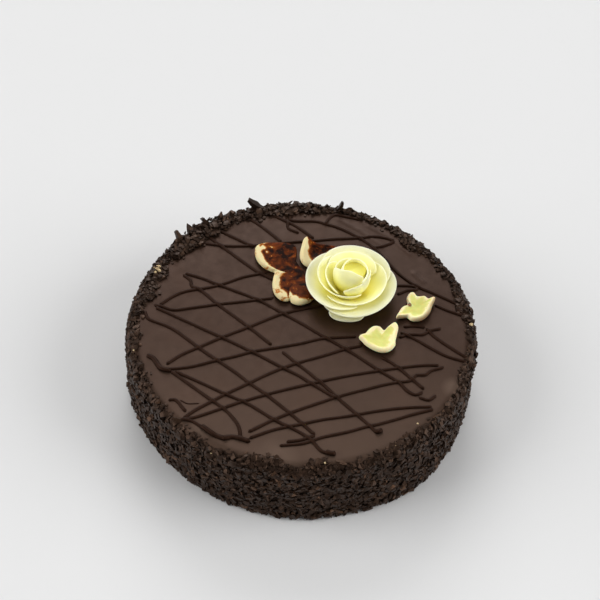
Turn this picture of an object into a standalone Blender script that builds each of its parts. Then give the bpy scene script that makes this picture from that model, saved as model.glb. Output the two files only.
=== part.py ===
"""Round chocolate-glazed cake with a piped lattice, flaked sides, a moulded rose and four leaves.

The cake stands on its flat base at z = 0, centred on the origin, with its front towards -Y.
Every piece is a closed solid of its own. Lengths are metres; plan points are written in
millimetres and turned into metres by MM.
"""

import math
import random
from collections import namedtuple

import bmesh
import bpy
from mathutils import Matrix, Vector, noise

MM = 0.001
MERGE = 0.00002
GAP = 0.3 * MM

# Driving dimensions of the cake.
CORE_RADIUS = 107.6 * MM
TOP_HEIGHT = 52.0 * MM
SHOULDER_RADIUS = 6.0 * MM
FOOT_RADIUS = 1.5 * MM
CORE_STEPS = 72
SIDE_RINGS = 5
SIDE_BUMP = 0.8 * MM
BUMP_SPACING = 6.0 * MM

# Piped drizzle on the top.
STRAND_RADIUS = 1.05 * MM
STRAND_SINK = 0.15 * MM
STRAND_STEP = 16.0 * MM
STRAND_LIFT = 0.03 * MM
BLOB_SCALE = 1.6

# Chocolate flakes on the side and round the rim.
FLAKE_SIDES = 4
FLAKE_THICKNESS = 2.4 * MM
FLAKE_LENGTHS = (6.0 * MM, 10.0 * MM)
FLAKE_ENDS = (0.62, 0.40)
FLAKE_SQUASH = (1.25, 0.8, 1.0)
SIDE_ROWS = 5
SIDE_FLAKES_IN_ROW = 22
RIM_FLAKES = 62
STANDING_FLAKES = 10
LOWEST_FLAKE = 4.5 * MM
# The tallest flakes of the rim: middle in plan and height above the top (mm), the way that the
# flake points, and its length (mm).
TALL_FLAKES = (
    ((-83.2, 68.6, 2.2), (-2.0, 1.5, 3.0), 10.0),
    ((-77.2, 75.2, 2.2), (-1.0, 2.0, 3.0), 10.0),
    ((-67.0, 82.4, 2.2), (-2.0, 1.0, 3.0), 9.0),
    ((-58.2, 88.6, 2.0), (1.0, 2.0, 3.0), 8.0),
    ((-50.6, 90.8, 1.8), (-1.0, 1.0, 3.0), 8.0),
    ((-35.2, 101.0, 3.2), (-8.6, 2.2, 5.0), 12.0),
    ((20.8, 103.4, 2.2), (2.0, 1.5, 3.0), 9.0),
)

# The rose, and the leaves round it.
ROSE_AT = (29.2 * MM, 30.6 * MM)
PETAL_THICKNESS = 0.9 * MM
PETAL_ROWS = 3
COLUMN_SPAN_DEG = 28.0
FEWEST_COLUMNS = 3
ROSE_FOOT_RADIUS = 11.5 * MM
ROSE_FOOT_TOP = 5.2 * MM
ROSE_FOOT_HEIGHT = 6.0 * MM
ROSE_HEART_RADIUS = 6.0 * MM
ROSE_HEART_TOP = 5.6 * MM
ROSE_HEART_HEIGHT = 19.4 * MM
LEAF_RINGS = (1.0, 0.82, 0.45)

# Colours, linear.
GLAZE_COLOUR = (0.055, 0.038, 0.030, 1.0)
ROSE_COLOUR = (0.86, 0.80, 0.38, 1.0)
CREAM_COLOUR = (0.80, 0.72, 0.42, 1.0)
MARBLED_COLOUR = (0.16, 0.065, 0.035, 1.0)

# A petal of the rose. Angles are degrees and lengths millimetres. The lap is what one side gains in
# radius over the other, the lean runs from 0 upright to 1 spread, the tilt is what one side gains in
# height, the belly is the swell at half height, the flare is what both sides gain in radius and the
# corner is the share of its length that a petal loses at its two sides.
Petal = namedtuple(
    "Petal", "azimuth half_width rim_radius rim_height lap lean tilt belly flare corner",
    defaults=(0.0, 1.0, 0.0, 0.0, 0.0, 0.3))
PETALS = (
    Petal(74, 70, 29.8, 12.4, lap=0.6),
    Petal(194, 90, 28.2, 10.8, lap=-4.0, tilt=0.4, corner=0.22),
    Petal(308, 82, 27.8, 9.0, lap=2.0, tilt=1.8, flare=2.0, corner=0.16),
    Petal(88, 62, 21.0, 16.0, lean=0.6),
    Petal(316, 96, 21.6, 12.8, lap=1.8, lean=0.7, tilt=1.0, flare=2.0, corner=0.2),
    Petal(210, 92, 19.6, 15.4, lap=-5.4, lean=0.55, tilt=-1.4, corner=0.24),
    Petal(180, 56, 16.4, 18.2, lean=0.35, belly=0.5),
    Petal(315, 66, 11.4, 19.6, lap=-0.6, lean=0.15, tilt=2.4, belly=1.6, flare=1.0, corner=0.2),
    Petal(130, 58, 10.6, 21.0, lean=0.2, belly=0.8, corner=0.2),
    Petal(66, 122, 7.6, 24.0, lap=-3.6, lean=0.1, belly=2.4, corner=0.12),
    Petal(247, 76, 3.4, 23.8, lap=-0.9, lean=0.1, tilt=0.2, belly=4.6, flare=5.6, corner=0.12),
    Petal(266, 30, 26.2, 2.6, lap=-0.8, flare=2.2, corner=0.25),
)

# Outlines of the leaves, anticlockwise in plan (mm), and how far each point's edge lifts (mm).
LEAF_LEFT = (
    (-32.5, 63.5, 2.6), (-33.2, 57.5, 2.4), (-31.2, 51.5, 2.0), (-27.0, 46.5, 1.6),
    (-22.2, 44.0, 1.2), (-19.6, 42.6, 0.8), (-20.2, 37.5, 1.4), (-20.4, 30.5, 1.8),
    (-18.8, 24.0, 2.0), (-15.0, 19.5, 2.0), (-11.0, 18.6, 1.4), (-8.8, 19.8, 0.8),
    (-7.0, 17.2, 1.6), (-3.0, 15.8, 2.0), (1.0, 17.0, 1.8), (5.0, 20.0, 1.0),
    (7.5, 26.0, 0.6), (8.0, 34.0, 0.4), (4.0, 41.0, 0.4), (-2.0, 47.0, 0.4),
    (-6.2, 54.0, 0.6), (-6.0, 62.0, 0.8), (-8.0, 67.0, 1.2), (-14.0, 68.2, 1.6),
    (-21.0, 67.8, 1.8), (-27.5, 66.6, 2.2),
)
LEAF_TOP = (
    (-2.0, 70.5, 5.0), (-3.2, 65.0, 4.6), (-4.0, 59.0, 3.8), (-3.4, 54.0, 2.8),
    (-0.6, 50.0, 1.8), (4.0, 49.0, 1.2), (10.0, 52.0, 0.8), (16.0, 56.0, 0.8),
    (22.0, 61.5, 1.2), (20.5, 66.5, 1.8), (15.0, 68.0, 2.0), (9.0, 69.0, 2.0),
    (4.5, 70.2, 2.6), (0.5, 72.8, 4.2),
)
LEAF_BACK = (
    (65.2, 19.8, 1.6), (62.0, 17.4, 2.0), (60.0, 13.0, 2.4), (58.6, 9.0, 2.8),
    (62.5, 9.6, 2.0), (65.6, 10.4, 1.2), (68.0, 8.0, 1.8), (71.5, 7.4, 2.2),
    (76.0, 9.4, 2.6), (79.6, 14.0, 3.0), (81.4, 20.0, 3.2), (83.4, 26.2, 3.6),
    (79.6, 25.6, 2.4), (76.8, 27.8, 2.4), (73.6, 28.0, 1.6), (71.6, 28.4, 1.4),
    (69.6, 30.4, 2.4), (67.0, 29.4, 2.6), (65.2, 25.6, 2.2), (65.8, 22.4, 1.6),
)
LEAF_FRONT = (
    (35.4, -8.6, 3.2), (37.4, -11.6, 2.8), (40.0, -14.6, 2.6), (45.0, -18.0, 2.6),
    (50.0, -19.4, 2.6), (54.6, -17.8, 2.4), (57.8, -13.6, 2.2), (58.2, -9.0, 1.8),
    (59.2, -3.6, 2.2), (59.8, 1.2, 2.8), (58.0, 3.8, 3.2), (54.6, 1.8, 2.2),
    (51.2, -1.4, 1.2), (48.2, 0.8, 2.0), (44.4, 0.6, 2.4), (41.4, -2.0, 2.4),
    (39.0, -5.6, 2.2),
)
# Name, outline, centre (mm), thickness (mm), colour.
LEAVES = (
    ("leaf_left", LEAF_LEFT, (-10.0, 42.0), 2.6, MARBLED_COLOUR),
    ("leaf_top", LEAF_TOP, (5.0, 61.0), 2.2, MARBLED_COLOUR),
    ("leaf_back", LEAF_BACK, (71.0, 18.5), 2.0, CREAM_COLOUR),
    ("leaf_front", LEAF_FRONT, (48.5, -8.8), 2.2, CREAM_COLOUR),
)

# Routes of the drizzle in plan (mm). The first set runs flat and rises to the right, the second
# falls steeply to the right.
FLAT_STRANDS = (
    ((-79, 63), (-68, 66), (-52, 65), (-36, 66)),
    ((24, 77), (35, 78.5), (45, 80.5), (54, 79), (57, 76.5), (51, 72.5), (45, 70.5)),
    ((-24, 44.5), (-30, 42), (-40, 38.5), (-50, 33), (-60, 28.5), (-75, 24), (-83, 19), (-90, 12)),
    ((-93, 11), (-88, 10), (-81, 8), (-70, 10.5), (-54, 14.5), (-40, 17.5), (-22.5, 21.5)),
    ((57, 38), (64, 38.5), (71, 38), (72, 35.5), (66, 34.5), (60, 31)),
    ((20, 20), (5, 16), (-12, 10), (-22, 4.5), (-33, -2.5), (-50, -12.5), (-63, -21), (-73, -27.5),
     (-81, -35)),
    ((-84, -40), (-73, -38), (-65, -36), (-51, -30.5), (-40, -26.5), (-29, -22), (-15, -18),
     (0, -13.5), (13, -9), (33, -6)),
    ((61, -4.5), (67, -2), (75, -1.5), (80, 2), (86, 4)),
    ((37, -13), (27, -16.5), (15, -22), (0, -28.5), (-10, -33.5), (-20, -39.5), (-30, -46.5),
     (-44, -56), (-52, -62), (-61, -69), (-67, -75)),
    ((-68, -76.5), (-60, -74), (-46, -67), (-35, -61.5), (-20, -55), (-5, -49), (9, -44),
     (25, -38.5), (48, -32), (65, -28), (76, -26), (84, -25.5)),
    ((87, -27), (80, -30), (76, -33.5), (71, -34), (67, -38.5), (60, -40), (50, -43), (40, -47),
     (27, -52), (15, -57.5), (0, -65), (-14, -73), (-28, -82.5)),
    ((-27, -87), (-15, -81), (-5, -77.5), (3, -75), (15, -71), (30, -67.5), (50, -62), (65, -59),
     (79, -57.5)),
    ((80, -59.5), (68, -64), (60, -67.5), (49, -72), (40, -75), (30, -79), (15, -84), (4, -89),
     (-9, -91.5)),
    ((-5, -88.5), (3, -86.5), (10, -83)),
)
STEEP_STRANDS = (
    ((-10, 100), (-11, 91.5), (5, 91.5), (12, 89.5), (20, 87), (30, 81.5), (42, 72.5), (52, 60),
     (61, 48), (72, 38.5), (82, 33.5), (98, 25)),
    ((12, 89.5), (14, 94.5), (18, 98.5), (25, 97.5), (34, 95.5)),
    ((-29, 98), (-20, 93.5), (-8, 86.5), (4, 76.5)),
    ((-13, 89), (-12.5, 84), (-6, 80.5)),
    ((-38, 90.5), (-30, 84), (-22, 76.5), (-17, 71.5)),
    ((-57, 78), (-48, 73), (-38, 67.5)),
    ((-66, 74), (-60, 68.5), (-50, 60), (-40, 51.5), (-30, 43.5), (-22.5, 39)),
    ((-76, 39), (-65, 35.5), (-55, 31), (-45, 27), (-29, 20), (-15, 11.5), (0, 2), (10, -5),
     (27, -16), (38, -24), (50, -33), (60, -40), (65, -46), (70, -49), (74, -47)),
    ((-77.5, 37.5), (-73, 33.5), (-71.5, 28.5), (-65, 25), (-54, 14.5), (-45, 7), (-33, -3),
     (-19, -15.5)),
    ((-11, -21.5), (-3, -29), (5, -36), (15, -45.5), (24, -55), (35, -66), (43, -74), (47, -78.5),
     (49.5, -77)),
    ((-92, 9), (-75, 0.5), (-60, -7), (-50, -12), (-29, -23), (-10, -34), (0, -39.5), (10, -46.5),
     (22, -54.5)),
    ((-99, 5), (-96, -0.5), (-85, -5), (-78, -9), (-70, -15.5), (-57, -26), (-40, -38.5),
     (-30, -47), (-20, -54.5), (-5, -67.5), (3, -75), (10, -82)),
    ((-75, -41), (-60, -48), (-45, -55.5), (-30, -62.5), (-14, -73), (2, -81.5), (9, -87),
     (15, -94), (22, -95.5)),
    ((-78, -41), (-70, -47), (-54, -59.5), (-44, -67), (-37, -75), (-34, -81), (-33, -87)),
    ((-77, -62.5), (-73, -62.5), (-67, -70)),
    ((50, -21.5), (58, -27), (69, -38), (75, -44)),
    ((62, -1), (72, -6.5), (80, -12), (90, -18), (103, -22)),
    ((78, 3), (84, -4), (95, -13), (104, -19.5)),
    ((84, 23), (91, 19.5), (102, 15.5)),
    ((64, 4), (70, 5), (76, 4.5)),
    ((73, -51), (78, -52.5), (82, -49)),
)
# Thick runs where the piping stopped and turned.
THICK_STRANDS = (
    ((-68, -76.5), (-62, -77.5), (-55, -82), (-48, -86.5), (-42, -88.5)),
    ((-43, -88.8), (-38, -87), (-33, -88), (-28, -89.5)),
    ((-93.5, -29.5), (-89.5, -32), (-84.5, -39), (-79, -40.5)),
    ((98, 20.5), (101, 18.5), (103, 17)),
)


def make_material(name, colour, roughness):
    """Return a Principled material of one colour."""
    material = bpy.data.materials.new(name)
    material.use_nodes = True
    shader = material.node_tree.nodes["Principled BSDF"]
    shader.inputs["Base Color"].default_value = colour
    shader.inputs["Roughness"].default_value = roughness
    shader.inputs["Metallic"].default_value = 0.0
    return material


def add_object(name, mesh, collection):
    """Link a new object with the given mesh to a collection."""
    piece = bpy.data.objects.new(name, mesh)
    collection.objects.link(piece)
    return piece


def mesh_from(bm, name):
    """Turn a bmesh into a mesh and free it."""
    mesh = bpy.data.meshes.new(name)
    bm.to_mesh(mesh)
    bm.free()
    return mesh


def evaluated_mesh(piece):
    """Return a new mesh of an object as its modifiers leave it."""
    bpy.context.view_layer.update()
    graph = bpy.context.evaluated_depsgraph_get()
    return bpy.data.meshes.new_from_object(piece.evaluated_get(graph), depsgraph=graph)


def smooth_route(points, step):
    """Run a Catmull-Rom curve through plan points, with a point about every step."""
    knots = [Vector((x * MM, y * MM)) for x, y in points]
    padded = [2 * knots[0] - knots[1]] + knots + [2 * knots[-1] - knots[-2]]
    route = [knots[0]]
    for before, start, end, after in zip(padded, padded[1:], padded[2:], padded[3:]):
        count = max(1, round((end - start).length / step))
        for index in range(1, count + 1):
            t = index / count
            route.append(0.5 * ((2 * start) + (end - before) * t
                                + (2 * before - 5 * start + 4 * end - after) * t ** 2
                                + (3 * start - before - 3 * end + after) * t ** 3))
    return route


def cake_profile():
    """Points of the cake's turned profile, from the top down its outer side to the base."""
    points = [Vector((0.0, 0.0, TOP_HEIGHT))]
    for index in range(4):
        angle = math.radians(90 - 30 * index)
        points.append(Vector((CORE_RADIUS - SHOULDER_RADIUS + SHOULDER_RADIUS * math.cos(angle), 0.0,
                              TOP_HEIGHT - SHOULDER_RADIUS + SHOULDER_RADIUS * math.sin(angle))))
    side_top = TOP_HEIGHT - SHOULDER_RADIUS
    for index in range(1, SIDE_RINGS):
        height = side_top + (FOOT_RADIUS - side_top) * index / SIDE_RINGS
        points.append(Vector((CORE_RADIUS, 0.0, height)))
    points.append(Vector((CORE_RADIUS, 0.0, FOOT_RADIUS)))
    points.append(Vector((CORE_RADIUS - FOOT_RADIUS, 0.0, 0.0)))
    points.append(Vector((0.0, 0.0, 0.0)))
    return points


def build_core(collection):
    """Turn the cake's profile, open its two fans to flat faces and roughen its side."""
    bm = bmesh.new()
    verts = [bm.verts.new(point) for point in cake_profile()]
    for start, end in zip(verts, verts[1:]):
        bm.edges.new((start, end))
    piece = add_object("cake", mesh_from(bm, "cake_profile"), collection)
    screw = piece.modifiers.new("turn", "SCREW")
    screw.steps = CORE_STEPS
    screw.render_steps = CORE_STEPS
    screw.use_merge_vertices = True
    screw.merge_threshold = MERGE
    turned = evaluated_mesh(piece)
    piece.modifiers.clear()
    bm = bmesh.new()
    bm.from_mesh(turned)
    bmesh.ops.remove_doubles(bm, verts=bm.verts, dist=MERGE)
    poles = [v for v in bm.verts if v.co.xy.length < MERGE]
    bmesh.ops.dissolve_verts(bm, verts=poles)
    for vert in bm.verts:
        if FOOT_RADIUS / 2 < vert.co.z < TOP_HEIGHT - SHOULDER_RADIUS / 2:
            bump = noise.noise(vert.co / BUMP_SPACING) * SIDE_BUMP
            outward = Vector((vert.co.x, vert.co.y, 0.0)).normalized()
            vert.co += outward * bump
    bmesh.ops.recalc_face_normals(bm, faces=bm.faces)
    piece.data = mesh_from(bm, "cake")
    return piece


def build_strand(name, points, scale, lift, collection):
    """Lay one strand of drizzle along plan points as a closed mesh tube."""
    curve = bpy.data.curves.new(name, "CURVE")
    curve.dimensions = "3D"
    curve.bevel_depth = STRAND_RADIUS
    curve.bevel_resolution = 1
    curve.use_fill_caps = True
    route = smooth_route(points, STRAND_STEP)
    spline = curve.splines.new("POLY")
    spline.points.add(len(route) - 1)
    for point, place in zip(spline.points, route):
        point.co = (place.x, place.y, TOP_HEIGHT - STRAND_SINK + lift, 1.0)
        point.radius = scale
    guide = add_object(name + "_guide", curve, collection)
    mesh = evaluated_mesh(guide)
    bm = bmesh.new()
    bm.from_mesh(mesh)
    bmesh.ops.remove_doubles(bm, verts=bm.verts, dist=MERGE)
    bmesh.ops.recalc_face_normals(bm, faces=bm.faces)
    tube = add_object(name, mesh_from(bm, name), collection)
    tube.matrix_world = guide.matrix_world
    bpy.data.objects.remove(guide)
    return tube


def build_drizzle(collection):
    """Lay every strand, each a hair higher than the one before it so that none coincide."""
    thin = [(points, 1.0) for points in FLAT_STRANDS + STEEP_STRANDS]
    thick = [(points, BLOB_SCALE) for points in THICK_STRANDS]
    for index, (points, scale) in enumerate(thin + thick):
        lift = STRAND_LIFT * (index % 7)
        build_strand(f"strand_{index:02d}", points, scale, lift, collection)


def build_flake(name, place, direction, length, collection):
    """Set one tapered flake with its middle at place and its length along direction."""
    bm = bmesh.new()
    wide, narrow = (FLAKE_THICKNESS * share for share in FLAKE_ENDS)
    bmesh.ops.create_cone(bm, cap_ends=True, segments=FLAKE_SIDES, radius1=wide,
                          radius2=narrow, depth=length)
    bmesh.ops.scale(bm, vec=FLAKE_SQUASH, verts=bm.verts)
    turn = direction.to_track_quat("Z", "Y").to_matrix().to_4x4()
    bmesh.ops.transform(bm, matrix=Matrix.Translation(place) @ turn, verts=bm.verts)
    return add_object(name, mesh_from(bm, name), collection)


def side_flakes(draw):
    """Yield the place, direction and length of the flakes on the side, row by row."""
    top = TOP_HEIGHT - SHOULDER_RADIUS
    for row in range(SIDE_ROWS):
        base_height = LOWEST_FLAKE + (top - LOWEST_FLAKE) * (row + 0.25) / SIDE_ROWS
        for column in range(SIDE_FLAKES_IN_ROW):
            share = (column + 0.5 * (row % 2) + draw.uniform(-0.3, 0.3)) / SIDE_FLAKES_IN_ROW
            angle = 2 * math.pi * share
            outward = Vector((math.cos(angle), math.sin(angle), 0.0))
            along = Vector((-math.sin(angle), math.cos(angle), 0.0))
            turn = draw.uniform(0.0, math.pi)
            length = draw.uniform(*FLAKE_LENGTHS)
            direction = along * math.cos(turn) + Vector((0, 0, 1)) * math.sin(turn)
            direction += outward * draw.uniform(-0.12, 0.12)
            lowest = LOWEST_FLAKE * abs(direction.normalized().z) + FLAKE_THICKNESS
            height = max(lowest, base_height + draw.uniform(-3.0, 3.0) * MM)
            place = outward * (CORE_RADIUS + 0.7 * MM) + Vector((0, 0, height))
            yield place, direction, length


def rim_flakes(draw):
    """Yield the place, direction and length of the flakes that lie on the shoulder."""
    for index in range(RIM_FLAKES):
        angle = 2 * math.pi * (index + draw.uniform(-0.35, 0.35)) / RIM_FLAKES
        outward = Vector((math.cos(angle), math.sin(angle), 0.0))
        along = Vector((-math.sin(angle), math.cos(angle), 0.0))
        inset = draw.uniform(-0.5, 5.5) * MM
        turn = draw.uniform(0.0, math.pi)
        direction = along * math.cos(turn) + outward * math.sin(turn) * 0.8
        direction += Vector((0, 0, -0.45 * math.sin(turn)))
        fall = 3.0 * MM * max(0.0, 1.0 - inset / (4.5 * MM))
        place = outward * (CORE_RADIUS - 0.4 * MM - inset) + Vector((0, 0, TOP_HEIGHT - fall))
        yield place, direction, draw.uniform(*FLAKE_LENGTHS)


def standing_flakes(draw):
    """Yield the place, direction and length of the flakes that stand up behind the rim."""
    for index in range(STANDING_FLAKES):
        angle = math.radians(40 + 130 * (index + draw.uniform(-0.3, 0.3)) / STANDING_FLAKES)
        outward = Vector((math.cos(angle), math.sin(angle), 0.0))
        along = Vector((-math.sin(angle), math.cos(angle), 0.0))
        direction = outward * 0.6 + along * draw.uniform(-0.9, 0.9) + Vector((0, 0, 0.7))
        place = outward * (CORE_RADIUS - 2.0 * MM) + Vector((0, 0, TOP_HEIGHT - 0.2 * MM))
        yield place, direction, FLAKE_LENGTHS[1]


def tall_flakes():
    """Yield the place, direction and length of the tallest flakes of the rim."""
    for (x, y, height), direction, length in TALL_FLAKES:
        yield Vector((x * MM, y * MM, TOP_HEIGHT + height * MM)), Vector(direction), length * MM


def build_flakes(collection):
    """Set every flake, in an order and with draws that are the same each run."""
    draw = random.Random(41)
    specs = list(side_flakes(draw)) + list(rim_flakes(draw)) + list(standing_flakes(draw))
    specs += list(tall_flakes())
    for index, (place, direction, length) in enumerate(specs):
        build_flake(f"flake_{index:03d}", place, direction, length, collection)


def petal_point(u, v, petal):
    """Return a point of a petal: u runs across it from -1 to 1, v from its foot to its rim."""
    reach = v * (1.0 - petal.corner * u ** 4)
    spread = petal.half_width * u * (0.6 + 0.4 * math.sin(0.5 * math.pi * v))
    angle = math.radians(petal.azimuth + spread)
    foot = 3.0 + 3.5 * petal.lean
    upright = math.sin(0.5 * math.pi * reach) ** 0.8
    radius = foot + (petal.rim_radius - foot) * (petal.lean * reach + (1.0 - petal.lean) * upright)
    radius += (petal.lap * u + petal.flare * u * u) * reach
    radius += petal.belly * math.sin(math.pi * reach)
    cup = reach ** (1.0 + 0.6 * petal.lean) + 0.14 * petal.lean * math.sin(math.pi * reach)
    height = 1.0 + (petal.rim_height - 1.0) * cup + petal.tilt * u * reach ** 2
    height -= 1.2 * petal.lean * reach ** 8
    height += 0.5 * petal.lean * math.sin(3.0 * u + math.radians(petal.azimuth)) * reach ** 3
    return Vector((radius * math.cos(angle), radius * math.sin(angle), height)) * MM


def build_petal(name, petal, collection):
    """Make one petal as a bent grid with a wall, placed on the rose's axis."""
    bm = bmesh.new()
    columns = max(FEWEST_COLUMNS, round(2 * petal.half_width / COLUMN_SPAN_DEG))
    bmesh.ops.create_grid(bm, x_segments=columns, y_segments=PETAL_ROWS, size=1.0)
    for vert in bm.verts:
        vert.co = petal_point(vert.co.x, 0.5 + 0.5 * vert.co.y, petal)
    bmesh.ops.triangulate(bm, faces=bm.faces)
    bmesh.ops.recalc_face_normals(bm, faces=bm.faces)
    bmesh.ops.solidify(bm, geom=bm.faces, thickness=PETAL_THICKNESS)
    bmesh.ops.recalc_face_normals(bm, faces=bm.faces)
    return add_object(name, mesh_from(bm, name), collection)


def build_rose_cone(name, base, top, height, collection):
    """Make one of the rose's two cones: its wide foot, or the heart that its bud is wrapped on."""
    bm = bmesh.new()
    bmesh.ops.create_cone(bm, cap_ends=True, segments=16, radius1=base, radius2=top, depth=height)
    bmesh.ops.translate(bm, vec=(0.0, 0.0, height / 2), verts=bm.verts)
    return add_object(name, mesh_from(bm, name), collection)


def largest_shell(bm):
    """Keep the largest connected shell of a bmesh and delete scraps and sealed hollows."""
    unseen = set(bm.verts)
    shells = []
    while unseen:
        stack = [unseen.pop()]
        shell = set(stack)
        while stack:
            for edge in stack.pop().link_edges:
                for vert in edge.verts:
                    if vert in unseen:
                        unseen.discard(vert)
                        shell.add(vert)
                        stack.append(vert)
        shells.append(shell)
    shells.sort(key=len)
    for shell in shells[:-1]:
        bmesh.ops.delete(bm, geom=list(shell), context="VERTS")


def fuse(piece, extras):
    """Join every object of a collection to a piece by one Boolean union, then remove them."""
    union = piece.modifiers.new("fuse", "BOOLEAN")
    union.operation = "UNION"
    union.operand_type = "COLLECTION"
    union.collection = extras
    union.solver = "EXACT"
    joined = evaluated_mesh(piece)
    piece.modifiers.clear()
    for extra in list(extras.objects):
        bpy.data.objects.remove(extra)
    bm = bmesh.new()
    bm.from_mesh(joined)
    bmesh.ops.remove_doubles(bm, verts=bm.verts, dist=MERGE / 4)
    bmesh.ops.dissolve_degenerate(bm, edges=bm.edges, dist=MERGE / 4)
    bmesh.ops.triangulate(bm, faces=bm.faces)
    largest_shell(bm)
    piece.data = mesh_from(bm, piece.name)


def leaf_ring(outline, centre, share):
    """Return the outline drawn in towards the centre by a share, with its lift fading inwards."""
    middle = Vector(centre)
    ring = []
    for x, y, lift in outline:
        place = middle + (Vector((x, y)) - middle) * share
        ring.append(Vector((place.x, place.y, lift * share ** 2)))
    return ring


def build_leaf(name, outline, centre, thickness, collection):
    """Make a leaf as two wavy faces of like triangles, with a wall between them."""
    bm = bmesh.new()
    faces = []
    for level in (thickness, 0.0):
        rings = [[bm.verts.new((p.x * MM, p.y * MM, (p.z + level) * MM))
                  for p in leaf_ring(outline, centre, share)] for share in LEAF_RINGS]
        hub = bm.verts.new((centre[0] * MM, centre[1] * MM, level * MM))
        faces.append(rings[0])
        count = len(outline)
        for index in range(count):
            after = (index + 1) % count
            for outer, inner in zip(rings, rings[1:]):
                bm.faces.new((outer[index], outer[after], inner[after]))
                bm.faces.new((outer[index], inner[after], inner[index]))
            bm.faces.new((rings[-1][index], rings[-1][after], hub))
    upper, lower = faces
    for index in range(len(outline)):
        after = (index + 1) % len(outline)
        bm.faces.new((upper[index], upper[after], lower[after]))
        bm.faces.new((upper[index], lower[after], lower[index]))
    bmesh.ops.recalc_face_normals(bm, faces=bm.faces)
    piece = add_object(name, mesh_from(bm, name), collection)
    piece.location = (0.0, 0.0, TOP_HEIGHT + GAP)
    return piece


def dress(piece, colour, roughness):
    """Give a piece its own material and smooth shading with sharp creases."""
    piece.data.materials.clear()
    piece.data.materials.append(make_material(piece.name + "_finish", colour, roughness))
    piece.data.shade_smooth()
    piece.data.set_sharp_from_angle(angle=math.radians(40))


def main():
    """Build every piece of the cake in its own collection."""
    for old in list(bpy.data.objects):
        bpy.data.objects.remove(old)
    parts = bpy.data.collections.new("glazed_cake")
    extras = bpy.data.collections.new("fused_pieces")
    for collection in (parts, extras):
        bpy.context.scene.collection.children.link(collection)

    cake = build_core(parts)
    build_drizzle(extras)
    build_flakes(extras)
    fuse(cake, extras)
    dress(cake, GLAZE_COLOUR, 0.4)

    rose = build_rose_cone("rose", ROSE_FOOT_RADIUS, ROSE_FOOT_TOP, ROSE_FOOT_HEIGHT, parts)
    build_rose_cone("heart", ROSE_HEART_RADIUS, ROSE_HEART_TOP, ROSE_HEART_HEIGHT, extras)
    for index, petal in enumerate(PETALS):
        build_petal(f"petal_{index:02d}", petal, extras)
    fuse(rose, extras)
    rose.location = (*ROSE_AT, TOP_HEIGHT + GAP)
    dress(rose, ROSE_COLOUR, 0.55)

    for name, outline, centre, thickness, colour in LEAVES:
        leaf = build_leaf(name, outline, centre, thickness, parts)
        dress(leaf, colour, 0.45)
    bpy.data.collections.remove(extras)


main()
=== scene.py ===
"""Birds milk cake, dressed for the render.

A round cake under satin chocolate glaze, with dark lines piped across its top, a coat of shaved
chocolate on its side and rim, and a moulded rose among four leaves. Lengths are metres. Plan
points and outlines are written in millimetres and turned into metres by MM. The front is at -Y.
"""

from __future__ import annotations

import logging
import math
import random
from collections.abc import Iterator, Mapping, Sequence
from dataclasses import dataclass
from enum import Enum

import bmesh
import bpy
import numpy as np
from mathutils import Matrix, Vector, noise
from mathutils.kdtree import KDTree


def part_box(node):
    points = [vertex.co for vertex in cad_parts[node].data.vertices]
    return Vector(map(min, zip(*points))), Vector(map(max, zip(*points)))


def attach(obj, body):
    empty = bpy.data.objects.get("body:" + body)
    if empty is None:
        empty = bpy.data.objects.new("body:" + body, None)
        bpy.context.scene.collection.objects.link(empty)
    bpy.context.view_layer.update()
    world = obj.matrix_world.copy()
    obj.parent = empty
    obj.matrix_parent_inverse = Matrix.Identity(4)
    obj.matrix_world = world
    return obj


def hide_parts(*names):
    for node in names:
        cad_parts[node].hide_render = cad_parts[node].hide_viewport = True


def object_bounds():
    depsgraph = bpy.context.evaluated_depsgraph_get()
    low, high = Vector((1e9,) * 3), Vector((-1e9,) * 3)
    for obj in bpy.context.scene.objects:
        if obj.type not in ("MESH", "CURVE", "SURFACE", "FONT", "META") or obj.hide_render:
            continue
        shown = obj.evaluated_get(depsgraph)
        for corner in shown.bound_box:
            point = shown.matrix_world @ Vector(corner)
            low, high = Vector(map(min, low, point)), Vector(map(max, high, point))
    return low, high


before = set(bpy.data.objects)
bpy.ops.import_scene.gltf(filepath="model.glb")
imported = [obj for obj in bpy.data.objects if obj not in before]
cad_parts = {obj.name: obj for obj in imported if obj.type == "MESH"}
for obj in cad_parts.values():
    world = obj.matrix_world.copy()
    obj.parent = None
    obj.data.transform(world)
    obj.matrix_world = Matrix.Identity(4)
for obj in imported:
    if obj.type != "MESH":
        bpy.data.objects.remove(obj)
CAD_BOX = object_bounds()

LOG = logging.getLogger("cake")
BODY = "root"
MM = 0.001
GAP = 0.3 * MM
# What keeps the lowest shavings off the table, and the angle between their facets that stays sharp.
TABLE_GAP = 0.15 * MM
FACET_DEG = 38.0
# A turn that never repeats, so that places round the cake spread evenly.
GOLDEN_TURN = 0.6180339887
# The usual range of a noise, which a finish stretches over limits of its own.
NOISE_RANGE = {"From Min": 0.3, "From Max": 0.7}
UP = Vector((0.0, 0.0, 1.0))

# The cake's solid and what stands on it give the height of the glaze and the rose's seat.
TOP_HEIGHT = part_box("rose")[0].z - GAP
CORE_RADIUS = 107.6 * MM
SHOULDER_RADIUS = 6.0 * MM
ROSE_AT = Vector((29.2, 30.6, 0.0)) * MM

PlanPoint = tuple[float, float]
Bounds = tuple[float, float]
Route = Sequence[PlanPoint]
Colour = tuple[float, float, float, float]


class Slot(Enum):
    """The record's material slots."""

    CHOCOLATE = "dark_chocolate"
    ICING = "pale_icing"
    MARBLED = "marbled_chocolate"
    CREAM = "white_chocolate"


class Shaving(Enum):
    """The kinds of shaved chocolate in the coat."""

    SPLINTER = "splinter"
    CHIP = "chip"
    LUMP = "lump"
    SHARD = "shard"


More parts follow.
